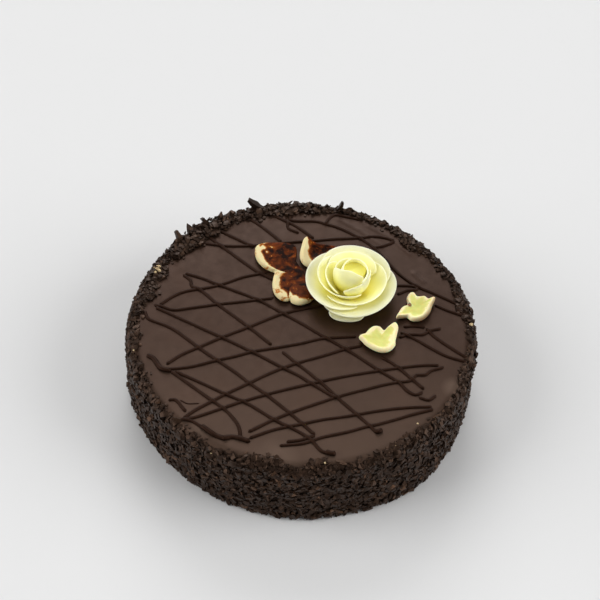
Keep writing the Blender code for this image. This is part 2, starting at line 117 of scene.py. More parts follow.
# Lines of the piped lattice in plan (mm). The first set runs flat and rises to the right, the
# second falls steeply to the right.
FLAT_STRANDS = (
    ((-79, 63), (-68, 66), (-52, 65), (-36, 66.4), (-24, 68.9), (-14, 70.6), (-4, 72.4), (6, 74),
     (17.5, 76.2), (24, 77), (35, 78.5), (45, 80.5), (54, 79), (57, 76.5), (51, 72.5), (45, 70.5)),
    ((-22.4, 45), (-24, 44.5), (-30, 42), (-40, 38.5), (-50, 33), (-60, 28.5), (-75, 24),
     (-83, 19), (-90, 12)),
    ((-93, 11), (-88, 10), (-81, 8), (-70, 10.5), (-54, 14.5), (-40, 17.5), (-22.5, 21.5),
     (-20.4, 22)),
    ((57, 38), (64, 38.5), (71, 38), (72, 35.5), (66, 34.5), (60, 31)),
    ((20, 20), (5, 16), (-12, 10), (-22, 4.5), (-33, -2.5), (-50, -12.5), (-63, -21), (-73, -27.5),
     (-81, -35)),
    ((-84, -40), (-73, -38), (-65, -36), (-51, -30.5), (-40, -26.5), (-29, -22), (-15, -18),
     (0, -13.5), (13, -9), (33, -6)),
    ((61, -4.5), (67, -2), (75, -1.5), (80, 2), (86, 4)),
    ((37, -13), (27, -16.5), (15, -22), (0, -28.5), (-10, -33.5), (-20, -39.5), (-30, -46.5),
     (-44, -56), (-52, -62), (-61, -69), (-67, -75)),
    ((-68, -76.5), (-60, -74), (-46, -67), (-35, -61.5), (-20, -55), (-5, -49), (9, -44),
     (25, -38.5), (48, -32), (65, -28), (76, -26), (84, -25.5)),
    ((87, -27), (80, -30), (76, -33.5), (71, -34), (67, -38.5), (60, -40), (50, -43), (40, -47),
     (27, -52), (15, -57.5), (0, -65), (-14, -73), (-28, -82.5)),
    ((-27, -87), (-15, -81), (-5, -77.5), (3, -75), (15, -71), (30, -67.5), (50, -62), (65, -59),
     (79, -57.5)),
    ((80, -59.5), (68, -64), (60, -67.5), (49, -72), (40, -75), (30, -79), (15, -84), (4, -89),
     (-9, -91.5)),
    ((-5, -88.5), (3, -86.5), (10, -83)),
    ((-68, -76.5), (-62, -77.5), (-55, -82), (-50, -85.5)),
)
STEEP_STRANDS = (
    ((-10, 100), (-11, 91.5), (5, 91.5), (12, 89.5), (20, 87), (30, 81.5), (42, 72.5), (52, 60),
     (61, 48), (72, 38.5), (82, 33.5), (98, 25)),
    ((12, 89.5), (14, 94.5), (18, 98.5), (25, 97.5), (34, 95.5)),
    ((-29, 98), (-20, 93.5), (-8, 86.5), (4, 76.5)),
    ((-13, 89), (-12.5, 84), (-6, 80.5)),
    ((-38, 90.5), (-30, 84), (-22, 76.5), (-17, 71.5)),
    ((-57, 78), (-48, 73), (-38, 67.5), (-34.6, 65.6)),
    ((-66, 74), (-60, 68.5), (-50, 60), (-40, 51.5), (-30, 43.5), (-22.5, 39), (-20.8, 37.8)),
    ((-76, 39), (-65, 35.5), (-55, 31), (-45, 27), (-29, 20), (-15, 11.5), (0, 2), (10, -5),
     (27, -16), (38, -24), (50, -33), (60, -40), (65, -46), (70, -49), (74, -47)),
    ((-77.5, 37.5), (-73, 33.5), (-71.5, 28.5), (-65, 25), (-54, 14.5), (-45, 7), (-33, -3),
     (-19, -15.5)),
    ((-11, -21.5), (-3, -29), (5, -36), (15, -45.5), (24, -55), (35, -66), (43, -74), (47, -78.5),
     (49.5, -77)),
    ((-92, 9), (-75, 0.5), (-60, -7), (-50, -12), (-29, -23), (-10, -34), (0, -39.5), (10, -46.5),
     (22, -54.5)),
    ((-99, 5), (-96, -0.5), (-85, -5), (-78, -9), (-70, -15.5), (-57, -26), (-40, -38.5),
     (-30, -47), (-20, -54.5), (-5, -67.5), (3, -75), (10, -82)),
    ((-75, -41), (-60, -48), (-45, -55.5), (-30, -62.5), (-14, -73), (2, -81.5), (9, -87),
     (15, -94), (22, -95.5)),
    ((-78, -41), (-70, -47), (-54, -59.5), (-44, -67), (-37, -75), (-34, -81), (-33, -87)),
    ((-77, -62.5), (-73, -62.5), (-67, -70)),
    ((50, -21.5), (58, -27), (69, -38), (75, -44)),
    ((62, -1), (72, -6.5), (80, -12), (90, -18), (103, -22)),
    ((78, 3), (84, -4), (95, -13), (104, -19.5)),
    ((84, 23), (91, 19.5), (102, 15.5)),
    ((64, 4), (70, 5), (76, 4.5)),
    ((73, -51), (78, -52.5), (82, -49)),
)
# Thick runs where the piping stopped and turned.
THICK_STRANDS = (
    ((-56, -81), (-52, -84), (-48, -86.5), (-42, -88.5)),
    ((46.8, -78.2), (48.4, -78), (49.5, -76.8)),
    ((17.5, -94.6), (20, -95.4), (22.5, -95.4)),
    ((-43, -88.8), (-38, -87), (-33, -88), (-28, -89.5)),
    ((-93.5, -29.5), (-89.5, -32), (-84.5, -39), (-79, -40.5)),
    ((98, 20.5), (101, 18.5), (103, 17)),
)
# Thin lines that have half sunk into the glaze.
SUNK_STRANDS = (
    ((-70, -62.5), (-66, -64.5), (-60, -64)),
)
# How far in from the side the shavings reach round the rim: angle (degrees) and width (mm).
RIM_REACH = (
    (-180, 4.1), (-171, 6.4), (-165, 2.6), (-155, 4.0), (-146, 2.2), (-139, 3.0), (-132, 1.4),
    (-116, 1.4), (-108, 2.5), (-102, 5.8), (-96, 6.8), (-93, 1.2), (-87, 1.4), (-85, 6.2),
    (-79, 4.8), (-76, 1.4), (-62, 1.5), (-57, 3.2), (-50, 5.6), (-43, 3.6), (-37, 2.6),
    (-23, 2.2), (-19, 5.2), (-14, 3.6), (-8, 3.2), (6, 3.4), (10, 6.5), (18, 6.5), (22, 3.8),
    (29, 5.6), (35, 4.0), (42, 6.6), (48, 9.6), (54, 5.2), (62, 4.4), (74, 4.2), (80, 5.6),
    (87, 8.6), (93, 8.0), (98, 10.0), (104, 8.6), (110, 9.0), (116, 8.2), (122, 9.0),
    (127, 12.4), (132, 10.6), (137, 13.0), (144, 10.2), (149, 9.4), (153, 5.8), (157, 11.4),
    (162, 8.6), (169, 10.2), (175, 6.0), (180, 4.1),
)
# The tallest shards of the rim: middle in plan and height above the top (mm), the way that each
# points, and its length (mm).
TALL_SHARDS = (
    ((-83.2, 68.6, 2.2), (-2.0, 1.5, 3.0), 10.0),
    ((-77.2, 75.2, 2.2), (-1.0, 2.0, 3.0), 10.0),
    ((-67.0, 82.4, 2.2), (-2.0, 1.0, 3.0), 9.0),
    ((-58.2, 88.6, 2.0), (1.0, 2.0, 3.0), 8.0),
    ((-50.6, 90.8, 1.8), (-1.0, 1.0, 3.0), 8.0),
    ((-35.2, 101.0, 3.2), (-8.6, 2.2, 5.0), 12.0),
    ((20.8, 103.4, 2.2), (2.0, 1.5, 3.0), 9.0),
)
# Low ridges that the palette knife left in the glaze (mm).
KNIFE_RIDGES = (
    ((20, 95), (35, 85), (50, 72)),
    ((70, 50), (74, 45), (77, 42)),
    ((40, 90), (55, 80), (68, 66)),
)


def linear(code: str) -> Colour:
    """Turn an sRGB hex colour into linear values.

    Args:
        code: Six hex digits.

    Returns:
        Linear red, green and blue, with an alpha of 1.
    """
    shares = [int(code[start:start + 2], 16) / 255 for start in (0, 2, 4)]
    bent = [s / 12.92 if s <= 0.04045 else ((s + 0.055) / 1.055) ** 2.4 for s in shares]
    return (bent[0], bent[1], bent[2], 1.0)


def per_metre(span_mm: float) -> float:
    """Return the texture scale whose features are span_mm millimetres apart."""
    return 1.0 / (span_mm * MM)


@dataclass(frozen=True)
class Finish:
    """What every finish has: its name and the even values of its shader."""

    name: str
    roughness: float
    ior: float = 1.5
    sheen: str = "ffffff"


class Recipe:
    """A material in the making: its nodes, its shader, and where each point lies on the piece."""

    def __init__(self, finish: Finish) -> None:
        """Start the material.

        Args:
            finish: The finish that gives its name and its even values.
        """
        self.material = bpy.data.materials.new(finish.name)
        self.material.use_nodes = True
        self.tree = self.material.node_tree
        self.shader = self.tree.nodes["Principled BSDF"]
        self.place = self.add("TexCoord").outputs["Object"]
        self.feed(self.shader, {"Roughness": finish.roughness, "IOR": finish.ior,
                                "Specular Tint": linear(finish.sheen)})

    def feed(self, node: bpy.types.Node, inputs: Mapping[str | int, object]) -> None:
        """Set a node's inputs.

        Args:
            node: The node.
            inputs: Socket name or number to a value, to an output socket that feeds it, or to a
                node, which stands for its first output.
        """
        for key, value in inputs.items():
            source = value.outputs[0] if isinstance(value, bpy.types.Node) else value
            if isinstance(source, bpy.types.NodeSocket):
                self.tree.links.new(source, node.inputs[key])
            else:
                node.inputs[key].default_value = source

    def add(
        self,
        kind: str,
        inputs: Mapping[str | int, object] | None = None,
        stops: Sequence[tuple[float, str]] = (),
        **settings: object,
    ) -> bpy.types.Node:
        """Add one node with its settings, values and links.

        Args:
            kind: The node's type name, after "ShaderNode".
            inputs: Its inputs, as for feed.
            stops: Positions and hex colours of a colour ramp.
            **settings: The node's own properties.

        Returns:
            The new node.
        """
        node = self.tree.nodes.new(f"ShaderNode{kind}")
        for key, value in settings.items():
            setattr(node, key, value)
        self.feed(node, inputs or {})
        if stops:
            ramp = node.color_ramp.elements
            for element, (position, code) in ((ramp[0], stops[0]), (ramp[1], stops[-1])):
                element.position, element.color = position, linear(code)
            for position, code in stops[1:-1]:
                ramp.new(position).color = linear(code)
        return node

    def spot(self, middle: Sequence[float], near_mm: float, far_mm: float,
             share: float) -> bpy.types.Node:
        """Mask a round place that has a soft edge.

        Args:
            middle: Its middle, in metres.
            near_mm: Up to how far from the middle the mask is full.
            far_mm: From how far it is nothing.
            share: The full mask.

        Returns:
            The mask.
        """
        away = self.add("VectorMath", {0: self.place, 1: middle}, operation="DISTANCE")
        return self.add("MapRange", {"Value": away.outputs["Value"], "From Min": near_mm * MM,
                                     "From Max": far_mm * MM, "To Min": share, "To Max": 0.0})

    def cover(self, ground: bpy.types.Node, code: str,
              masks: Sequence[bpy.types.Node]) -> bpy.types.NodeSocket:
        """Lay a colour over another, once for each mask.

        Args:
            ground: The colour below.
            code: The hex colour laid over it.
            masks: How much of it shows.

        Returns:
            The colour.
        """
        colour = ground.outputs[0]
        for mask in masks:
            colour = self.add("Mix", {0: mask, 6: colour, 7: linear(code)},
                              data_type="RGBA").outputs[2]
        return colour

    def serve(self, inputs: Mapping[str, object], layers: Sequence[tuple]) -> bpy.types.Material:
        """Feed the shader, and chain bump layers into its normal.

        Args:
            inputs: The shader's inputs, as for feed.
            layers: Height, depth in millimetres and strength of each layer.

        Returns:
            The finished material.
        """
        below: dict[str, object] = {}
        for height, depth_mm, strength in layers:
            below = {"Normal": self.add("Bump", {"Height": height, "Distance": depth_mm * MM,
                                                 "Strength": strength, **below})}
        self.feed(self.shader, {**inputs, **below})
        return self.material


@dataclass(frozen=True)
class GlazeFinish(Finish):
    """Dark couverture glaze, poured warm and drawn smooth: a satin skin in soft uneven browns."""

    sheen: str = "ffc2a2"
    deep: str = "0f0805"
    cool: str = "140c07"
    warm: str = "1d110a"
    # The pale colour painted over the browns as light: towards the front and in the shoulder's
    # highlights.
    painted_light: str = "453a32"
    gloss_span: float = 0.06
    patch_mm: float = 34.0
    mottle_mm: float = 5.0
    # The skin's own grain is finer than this, which is as coarse as it needs to show.
    grain_mm: float = 0.7
    # Painted highlights, pale patches where the shoulder catches the light: place and reach (mm).
    painted_highlights: tuple[tuple[float, float, float], ...] = (
        (-11.0, -100.0, 15.0), (-60.0, -87.0, 9.0), (94.0, -42.0, 9.0))
    # Painted light, paler towards the front where the glaze catches more light: where it starts and
    # is fullest along Y (mm), and its share.
    painted_front_light: tuple[float, float, float] = (-5.0, -100.0, 0.55)

    def make(self) -> bpy.types.Material:
        """Mottle the browns, lay painted light towards the front and painted highlights on the
        shoulder over them, and return the material.
        """
        recipe = Recipe(self)
        patches, mottle, grain = (
            recipe.add("TexNoise", {"Vector": recipe.place, "Scale": per_metre(span_mm),
                                    "Detail": detail})
            for span_mm, detail in ((self.patch_mm, 3.0), (self.mottle_mm, 4.0),
                                    (self.grain_mm, 2.0)))
        faint = recipe.add("Math", {0: mottle, 1: 0.2}, operation="MULTIPLY")
        tone = recipe.add("Math", {0: patches, 1: 0.8, 2: faint}, operation="MULTIPLY_ADD")
        browns = recipe.add("ValToRGB", {"Fac": tone},
                            stops=((0.34, self.deep), (0.5, self.cool), (0.64, self.warm)))
        # Painted light: the glaze is made paler towards the front and at the shoulder's highlights.
        start, full, share = self.painted_front_light
        depth = recipe.add("SeparateXYZ", {"Vector": recipe.place}).outputs["Y"]
        masks = [recipe.add("MapRange", {"Value": depth, "From Min": start * MM,
                                         "From Max": full * MM, "To Min": 0.0, "To Max": share})]
        masks += [recipe.spot((x * MM, y * MM, TOP_HEIGHT), 0.35 * reach, reach, 0.85)
                  for x, y, reach in self.painted_highlights]
        gloss = recipe.add("MapRange", {"Value": mottle, **NOISE_RANGE,
                                        "To Min": self.roughness - self.gloss_span,
                                        "To Max": self.roughness + self.gloss_span})
        return recipe.serve({"Base Color": recipe.cover(browns, self.painted_light, masks),
                             "Roughness": gloss}, ((mottle, 0.12, 0.35), (grain, 0.04, 0.3)))


@dataclass(frozen=True)
class PipedFinish(Finish):
    """Melted dark chocolate, piped and set: near black, with a soft shine along its back."""

    sheen: str = "ffb896"
    dark: str = "0d0603"
    light: str = "1c0f08"
    ripple_mm: float = 1.6

    def make(self) -> bpy.types.Material:
        """Ripple the brown along the lines and return the material."""
        recipe = Recipe(self)
        ripple = recipe.add("TexNoise", {"Vector": recipe.place,
                                         "Scale": per_metre(self.ripple_mm), "Detail": 3.0})
        ramp = recipe.add("ValToRGB", {"Fac": ripple},
                          stops=((0.35, self.dark), (0.7, self.light)))
        return recipe.serve({"Base Color": ramp}, ((ripple, 0.15, 0.4),))


@dataclass(frozen=True)
class ShavingFinish(Finish):
    """Shaved dark chocolate: each shaving cut at another depth, so no two have the same brown."""

    sheen: str = "ffcbab"
    tones: tuple[tuple[float, str], ...] = (
        (0.0, "0a0604"), (0.45, "1a110c"), (0.8, "38281d"), (1.0, "664c3b"))
    tone_span: float = 0.12
    # A cut face's own grain is finer than this, which is as coarse as it needs to show.
    grain_mm: float = 0.8

    def make(self) -> bpy.types.Material:
        """Give each shaving the brown of its tone and return the material."""
        recipe = Recipe(self)
        tone = recipe.add("Attribute", attribute_name="tone", attribute_type="GEOMETRY")
        grain = recipe.add("TexNoise", {"Vector": recipe.place, "Scale": per_metre(self.grain_mm),
                                        "Detail": 3.0})
        drift = recipe.add("MapRange", {"Value": grain, **NOISE_RANGE,
                                        "To Min": -self.tone_span, "To Max": self.tone_span})
        total = recipe.add("Math", {0: tone.outputs["Fac"], 1: drift}, operation="ADD")
        ramp = recipe.add("ValToRGB", {"Fac": total}, stops=self.tones)
        return recipe.serve({"Base Color": ramp}, ((grain, 0.2, 0.5),))


@dataclass(frozen=True)
class CrumbFinish(Finish):
    """Baked sponge crumb: dry, open and uneven, with painted shade darkening each pore."""

    dark: str = "86663f"
    light: str = "c8b289"
    pore_mm: float = 0.9

    def make(self) -> bpy.types.Material:
        """Open the crumb's pores, darken them with painted shade and return the material."""
        recipe = Recipe(self)
        pores = recipe.add("TexVoronoi", {"Vector": recipe.place,
                                          "Scale": per_metre(self.pore_mm)})
        # Painted shade: darker in the pores, paler between them.
        ramp = recipe.add("ValToRGB", {"Fac": pores},
                          stops=((0.1, self.dark), (0.6, self.light)))
        return recipe.serve({"Base Color": ramp}, ((pores, 0.4, 0.8),))


@dataclass(frozen=True)
class IcingFinish(Finish):
    """Tinted white-chocolate paste, rolled thin: painted almost white at each rim, where it catches
    the light, and a deeper lemon in the folds, where shade falls.
    """

    # Painted light and shade: a deeper lemon in the folds, where shade falls, paler towards the
    # rim, where the petals catch the light.
    fold_shade: str = "fdf07c"
    body: str = "fdf6a8"
    rim: str = "fdf8c0"
    tone_span: float = 0.06
    smear_mm: float = 6.0
    # The paste's own grain is finer than this, which is as coarse as it needs to show.
    grain_mm: float = 0.5
    glow_mm: float = 2.2

    def make(self) -> bpy.types.Material:
        """Paint the paste paler towards each rim and a deeper lemon in the folds, as light and
        shade, let light through it and return the material.
        """
        recipe = Recipe(self)
        share = recipe.add("Attribute", attribute_name="rimshare", attribute_type="GEOMETRY")
        smear, grain = (recipe.add("TexNoise", {"Vector": recipe.place,
                                                "Scale": per_metre(span_mm), "Detail": 2.0})
                        for span_mm in (self.smear_mm, self.grain_mm))
        drift = recipe.add("MapRange", {"Value": smear, **NOISE_RANGE,
                                        "To Min": -self.tone_span, "To Max": self.tone_span})
        total = recipe.add("Math", {0: share.outputs["Fac"], 1: drift}, operation="ADD")
        # Painted shade in the folds and painted light towards each rim.
        ramp = recipe.add("ValToRGB", {"Fac": total},
                          stops=((0.3, self.fold_shade), (0.62, self.body), (0.97, self.rim)))
        return recipe.serve({"Base Color": ramp, "Subsurface Weight": 1.0,
                             "Subsurface Scale": self.glow_mm * MM,
                             "Subsurface Radius": (1.0, 1.0, 0.9)},
                            ((smear, 0.2, 0.25), (grain, 0.03, 0.25)))


@dataclass(frozen=True)
class LeafFinish(Finish):
    """White chocolate cast in a mould, its upper face tinted with a film that pooled unevenly; on
    the bare leaves the film's colours are their own pale green tint, deepened with painted shade
    towards the cupped middle.
    """

    cream: str = "dccd9c"
    edge: str = "ad6a22"
    film: str = "6b300d"
    # The deepest colour: the film's thickest pools on the tinted leaves, painted shade in the
    # cupped middle on the bare ones.
    pool_and_shade: str = "1b0c07"
    stain: str = "7a4a22"
    shine_through: float = 0.15
    glow_mm: float = 2.5
    cloud_mm: float = 6.0
    fleck_mm: float = 1.8
    uneven: float = 0.3
    # Painted shade in a pit: its place, and how far from it the darkening is full and fades out
    # (mm).
    pit: tuple[float, float, float] = (0.0, 0.0, -1.0)
    pit_mm: tuple[float, float] = (1.0, 1.9)

    def make(self) -> bpy.types.Material:
        """Break the film up, stain the wall, sink the pit and darken it with painted shade, and
        return the material.
        """
        recipe = Recipe(self)
        share = recipe.add("Attribute", attribute_name="film",
                           attribute_type="GEOMETRY").outputs["Fac"]
        cloud = recipe.add("TexNoise", {"Vector": recipe.place, "Scale": per_metre(self.cloud_mm),
                                        "Detail": 4.0, "Distortion": 0.6})
        fleck = recipe.add("TexNoise", {"Vector": recipe.place, "Scale": per_metre(self.fleck_mm),
                                        "Detail": 3.0})
        worn = recipe.add("MapRange", {"Value": fleck, "From Min": 0.58, "From Max": 0.74,
                                       "To Min": 0.0, "To Max": -self.uneven})
        drift = recipe.add("MapRange", {"Value": cloud, **NOISE_RANGE,
                                        "To Min": -self.uneven, "To Max": self.uneven})
        drifted = recipe.add("Math", {0: share, 1: drift}, operation="ADD")
        total = recipe.add("Math", {0: drifted, 1: worn}, operation="ADD")
        ramp = recipe.add("ValToRGB", {"Fac": total},
                          stops=((0.1, self.cream), (0.27, self.edge), (0.46, self.film),
                                 (0.86, self.pool_and_shade)))
        stained = recipe.add("MapRange", {"Value": share, "From Min": -0.1, "From Max": -1.2,
                                          "To Min": 0.0, "To Max": 0.9})
        # Painted shade: the pit is darkened with the stain colour as well as sunk by its bump.
        holed = recipe.spot(self.pit, *self.pit_mm, 0.92)
        dip = recipe.add("Math", {0: holed, 1: -1.0}, operation="MULTIPLY")
        return recipe.serve({"Base Color": recipe.cover(ramp, self.stain, (stained, holed)),
                             "Specular IOR Level": 0.06,
                             "Subsurface Weight": self.shine_through,
                             "Subsurface Scale": self.glow_mm * MM},
                            ((cloud, 0.3, 0.3), (dip, 0.8, 0.8)))


@dataclass(frozen=True)
class PaperFinish(Finish):
    """Matt studio paper under the cake."""

    shade: str = "d3d3d3"
    fibre_mm: float = 2.0

    def make(self) -> bpy.types.Material:
        """Raise the paper's fibres and return the material."""
        recipe = Recipe(self)
        fibre = recipe.add("TexNoise", {"Vector": recipe.place,
                                        "Scale": per_metre(self.fibre_mm)})
        return recipe.serve({"Base Color": linear(self.shade)}, ((fibre, 0.02, 0.1),))


def add_piece(
    name: str,
    mesh: bpy.types.Mesh,
    material: bpy.types.Material,
    slot: Slot,
    node: str,
) -> bpy.types.Object:
    """Stand a finished mesh in the scene in place of a solid.

    Args:
        name: The piece's name.
        mesh: Its mesh, already in place.
        material: Its finish.
        slot: The record's slot that the finish belongs to. Not used.
        node: The solid that it stands for.

    Returns:
        The new object.
    """
    mesh.materials.clear()
    mesh.materials.append(material)
    piece = bpy.data.objects.new(name, mesh)
    bpy.context.scene.collection.objects.link(piece)
    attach(piece, BODY)
    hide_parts(node)
    LOG.info("%s stands for %s with %d faces", name, node, len(mesh.polygons))
    return piece


def to_mesh(bm: bmesh.types.BMesh, name: str, crease_deg: float = 60.0) -> bpy.types.Mesh:
    """Turn a bmesh into a smooth mesh and free it.

    Args:
        bm: The bmesh.
        name: The mesh's name.
        crease_deg: Edges bent by more than this stay sharp.

    Returns:
        The mesh.
    """
    mesh = bpy.data.meshes.new(name)
    bm.to_mesh(mesh)
    bm.free()
    mesh.shade_smooth()
    mesh.set_sharp_from_angle(angle=math.radians(crease_deg))
    return mesh


def to_arrays(bm: bmesh.types.BMesh) -> tuple[np.ndarray, np.ndarray]:
    """Turn a small triangulated bmesh into arrays and free it.

    Args:
        bm: The bmesh.

    Returns:
        Its points and its triangles.
    """
    bm.verts.index_update()
    points = np.array([vert.co[:] for vert in bm.verts])
    triangles = np.array([[vert.index for vert in face.verts] for face in bm.faces])
    bm.free()
    return points, triangles


def heading(angle: float) -> Vector:
    """Return the level direction at an angle (radians) round the cake."""
    return Vector((math.cos(angle), math.sin(angle), 0.0))


def degrees_off(angle: float, middle: float) -> float:
    """Return how many degrees an angle (radians) lies past another (degrees)."""
    return (math.degrees(angle) - middle + 180.0) % 360.0 - 180.0


def any_way(draw: random.Random) -> Vector:
    """Return a random vector that may point any way."""
    return Vector((draw.gauss(0, 1), draw.gauss(0, 1), draw.gauss(0, 1)))


def curve_point(knots: Sequence[Vector], t: float) -> Vector:
    """Return a point of the Catmull-Rom curve between the middle two of four knots.

    Args:
        knots: The four knots in order.
        t: Place between the second, 0, and the third, 1.

    Returns:
        The point.
    """
    before, start, end, after = knots
    return 0.5 * (2 * start + (end - before) * t
                  + (2 * before - 5 * start + 4 * end - after) * t ** 2
                  + (3 * start - before - 3 * end + after) * t ** 3)


def smooth_route(points: Route, step_mm: float) -> list[Vector]:
    """Run a smooth curve through plan points.

    Args:
        points: The route's points in millimetres.
        step_mm: About how far apart the new points are.

    Returns:
        Points on the curve in metres, with a height of 0.
    """
    knots = [Vector((x, y, 0.0)) for x, y in points]
    padded = [2 * knots[0] - knots[1], *knots, 2 * knots[-1] - knots[-2]]
    route = [knots[0] * MM]
    for four in zip(padded, padded[1:], padded[2:], padded[3:]):
        count = max(1, round((four[2] - four[1]).length / step_mm))
        route += [curve_point(four, index / count) * MM for index in range(1, count + 1)]
    return route


def grow_rings(
    rings: Sequence[Sequence[Vector]],
    marks: Sequence[Sequence[float]] = (),
) -> bmesh.types.BMesh:
    """Extrude a circle through a series of rings and close both ends.

    Args:
        rings: The points of each ring in turn, the same count in each.
        marks: A value for each of those points, kept as the layer "film".

    Returns:
        One closed shell.
    """
    bm = bmesh.new()
    order = bm.verts.layers.int.new("order")
    film = bm.verts.layers.float.new("film")
    bmesh.ops.create_circle(bm, segments=len(rings[0]), radius=1.0)
    for index, vert in enumerate(bm.verts):
        vert[order] = index
        vert.co = rings[0][index]
        vert[film] = marks[0][index] if marks else 0.0
    front = list(bm.edges)
    first = list(front)
    for level, ring in enumerate(rings[1:], start=1):
        grown = bmesh.ops.extrude_edge_only(bm, edges=front)["geom"]
        new_verts = {part for part in grown if isinstance(part, bmesh.types.BMVert)}
        for vert in new_verts:
            vert.co = ring[vert[order]]
            vert[film] = marks[level][vert[order]] if marks else 0.0
        front = [part for part in grown if isinstance(part, bmesh.types.BMEdge)
                 and part.verts[0] in new_verts and part.verts[1] in new_verts]
    for edges in (first, front):
        bmesh.ops.contextual_create(bm, geom=edges)
    bmesh.ops.recalc_face_normals(bm, faces=bm.faces)
    return bm


@dataclass(frozen=True)
class GlazedBody:
    """The cake's body under its glaze: a turned drum with a soft shoulder."""

    finish: GlazeFinish = GlazeFinish("couverture_glaze", roughness=0.48, ior=1.45)
    radius: float = CORE_RADIUS
    top: float = TOP_HEIGHT
    shoulder: float = SHOULDER_RADIUS
    foot: float = 1.5 * MM
    ring_step: float = 1.3 * MM
    row_step: float = 1.6 * MM
    shoulder_steps: int = 8
    turn_steps: int = 420
    # Where the side stands out or draws in: angle, offset (mm), spread (degrees), height (mm).
    bulges: tuple[tuple[float, float, float, float], ...] = (
        (-130.0, -2.0, 34.0, 22.0), (-48.0, 2.2, 14.0, 70.0), (-168.0, 1.4, 14.0, 70.0))
    swell: float = 0.22 * MM
    swell_span: float = 32.0 * MM
    side_bump: float = 0.8 * MM
    side_span: float = 6.0 * MM
    ridge_height: float = 0.45 * MM
    ridge_width: float = 0.9 * MM

    def relief(self, x: float, y: float) -> float:
        """Return how far the glaze stands above its mean level.

        Args:
            x: Plan place.
            y: Plan place.

        Returns:
            The height of its waves and of the palette knife's ridges there.
        """
        wave = noise.noise(Vector((x, y, 0.0)) / self.swell_span) * self.swell
        point = Vector((x, y))
        for ridge in KNIFE_RIDGES:
            for start, end in zip(ridge, ridge[1:]):
                a, b = Vector(start) * MM, Vector(end) * MM
                share = max(0.0, min(1.0, (point - a).dot(b - a) / (b - a).length_squared))
                away = (point - a.lerp(b, share)).length / self.ridge_width
                if away < 3.0:
                    wave = max(wave, self.ridge_height * math.exp(-away * away))
        return wave

    def surface(self, x: float, y: float) -> float:
        """Return the height of the glaze.

        Args:
            x: Plan place.
            y: Plan place.

        Returns:
            The height above the base.
        """
        beyond = math.hypot(x, y) - (self.radius - self.shoulder)
        drop = 0.0
        if beyond > 0.0:
            drop = self.shoulder - math.sqrt(max(0.0, self.shoulder ** 2 - beyond ** 2))
        return self.top - drop + self.relief(x, y)

    def bulge(self, angle: float, height: float) -> float:
        """Return how far the side stands out of true.

        Args:
            angle: Where round the cake (radians).
            height: How far above the base.

        Returns:
            What the radius gains.
        """
        total = 0.0
        for middle, offset, spread, reach in self.bulges:
            away = degrees_off(angle, middle) / spread
            low = max(0.0, 1.0 - height / (reach * MM))
            total += offset * MM * math.exp(-away * away) * low
        return total

    def reach(self, height: float) -> float:
        """Return the side's radius at a height, before its bulges."""
        over = max(0.0, height - (self.top - self.shoulder))
        return self.radius - self.shoulder + math.sqrt(max(0.0, self.shoulder ** 2 - over ** 2))

    def normal(self, x: float, y: float) -> Vector:
        """Return the outward direction of the shoulder or the flat top.

        Args:
            x: Plan place.
            y: Plan place.

        Returns:
            The direction.
        """
        outward = Vector((x, y, 0.0)).normalized()
        beyond = max(0.0, math.hypot(x, y) - (self.radius - self.shoulder))
        slope = math.asin(min(1.0, beyond / self.shoulder))
        return outward * math.sin(slope) + UP * math.cos(slope)

    def profile(self) -> list[Vector]:
        """Return the turned outline from the top's middle down the side to the base."""
        flat = self.radius - self.shoulder
        steps = round(flat / self.ring_step)
        points = [Vector((flat * index / steps, 0.0, self.top)) for index in range(steps)]
        for index in range(self.shoulder_steps + 1):
            angle = math.radians(90 - 90 * index / self.shoulder_steps)
            points.append(Vector((flat + self.shoulder * math.cos(angle), 0.0,
                                  self.top - self.shoulder * (1 - math.sin(angle)))))
        low = self.top - self.shoulder
        rows = round(low / self.row_step)
        for index in range(1, rows + 1):
            height = low + (self.foot - low) * index / rows
            points.append(Vector((self.reach(height), 0.0, height)))
        points.append(Vector((self.reach(0.0) - self.foot, 0.0, 0.0)))
        points.append(Vector((0.0, 0.0, 0.0)))
        return points

    def mesh(self) -> bpy.types.Mesh:
        """Spin the outline and give the top its waves and the side its lumps."""
        bm = bmesh.new()
        verts = [bm.verts.new(point) for point in self.profile()]
        edges = [bm.edges.new(pair) for pair in zip(verts, verts[1:])]
        bmesh.ops.spin(bm, geom=verts + edges, axis=UP, cent=(0.0, 0.0, 0.0), angle=math.tau,
                       steps=self.turn_steps, use_merge=True)
        bmesh.ops.remove_doubles(bm, verts=bm.verts, dist=0.01 * MM)
        for vert in bm.verts:
            x, y, z = vert.co
            if z > self.top - self.shoulder:
                vert.co.z += self.relief(x, y)
            elif z > self.foot / 2:
                lump = noise.noise(vert.co / self.side_span) * self.side_bump
                lump += self.bulge(math.atan2(y, x), z)
                vert.co += Vector((x, y, 0.0)).normalized() * lump
        bmesh.ops.recalc_face_normals(bm, faces=bm.faces)
        return to_mesh(bm, "glazed_body")

    def build(self) -> None:
        """Stand the body in the scene."""
        add_piece("glazed_body", self.mesh(), self.finish.make(), Slot.CHOCOLATE, "cake")


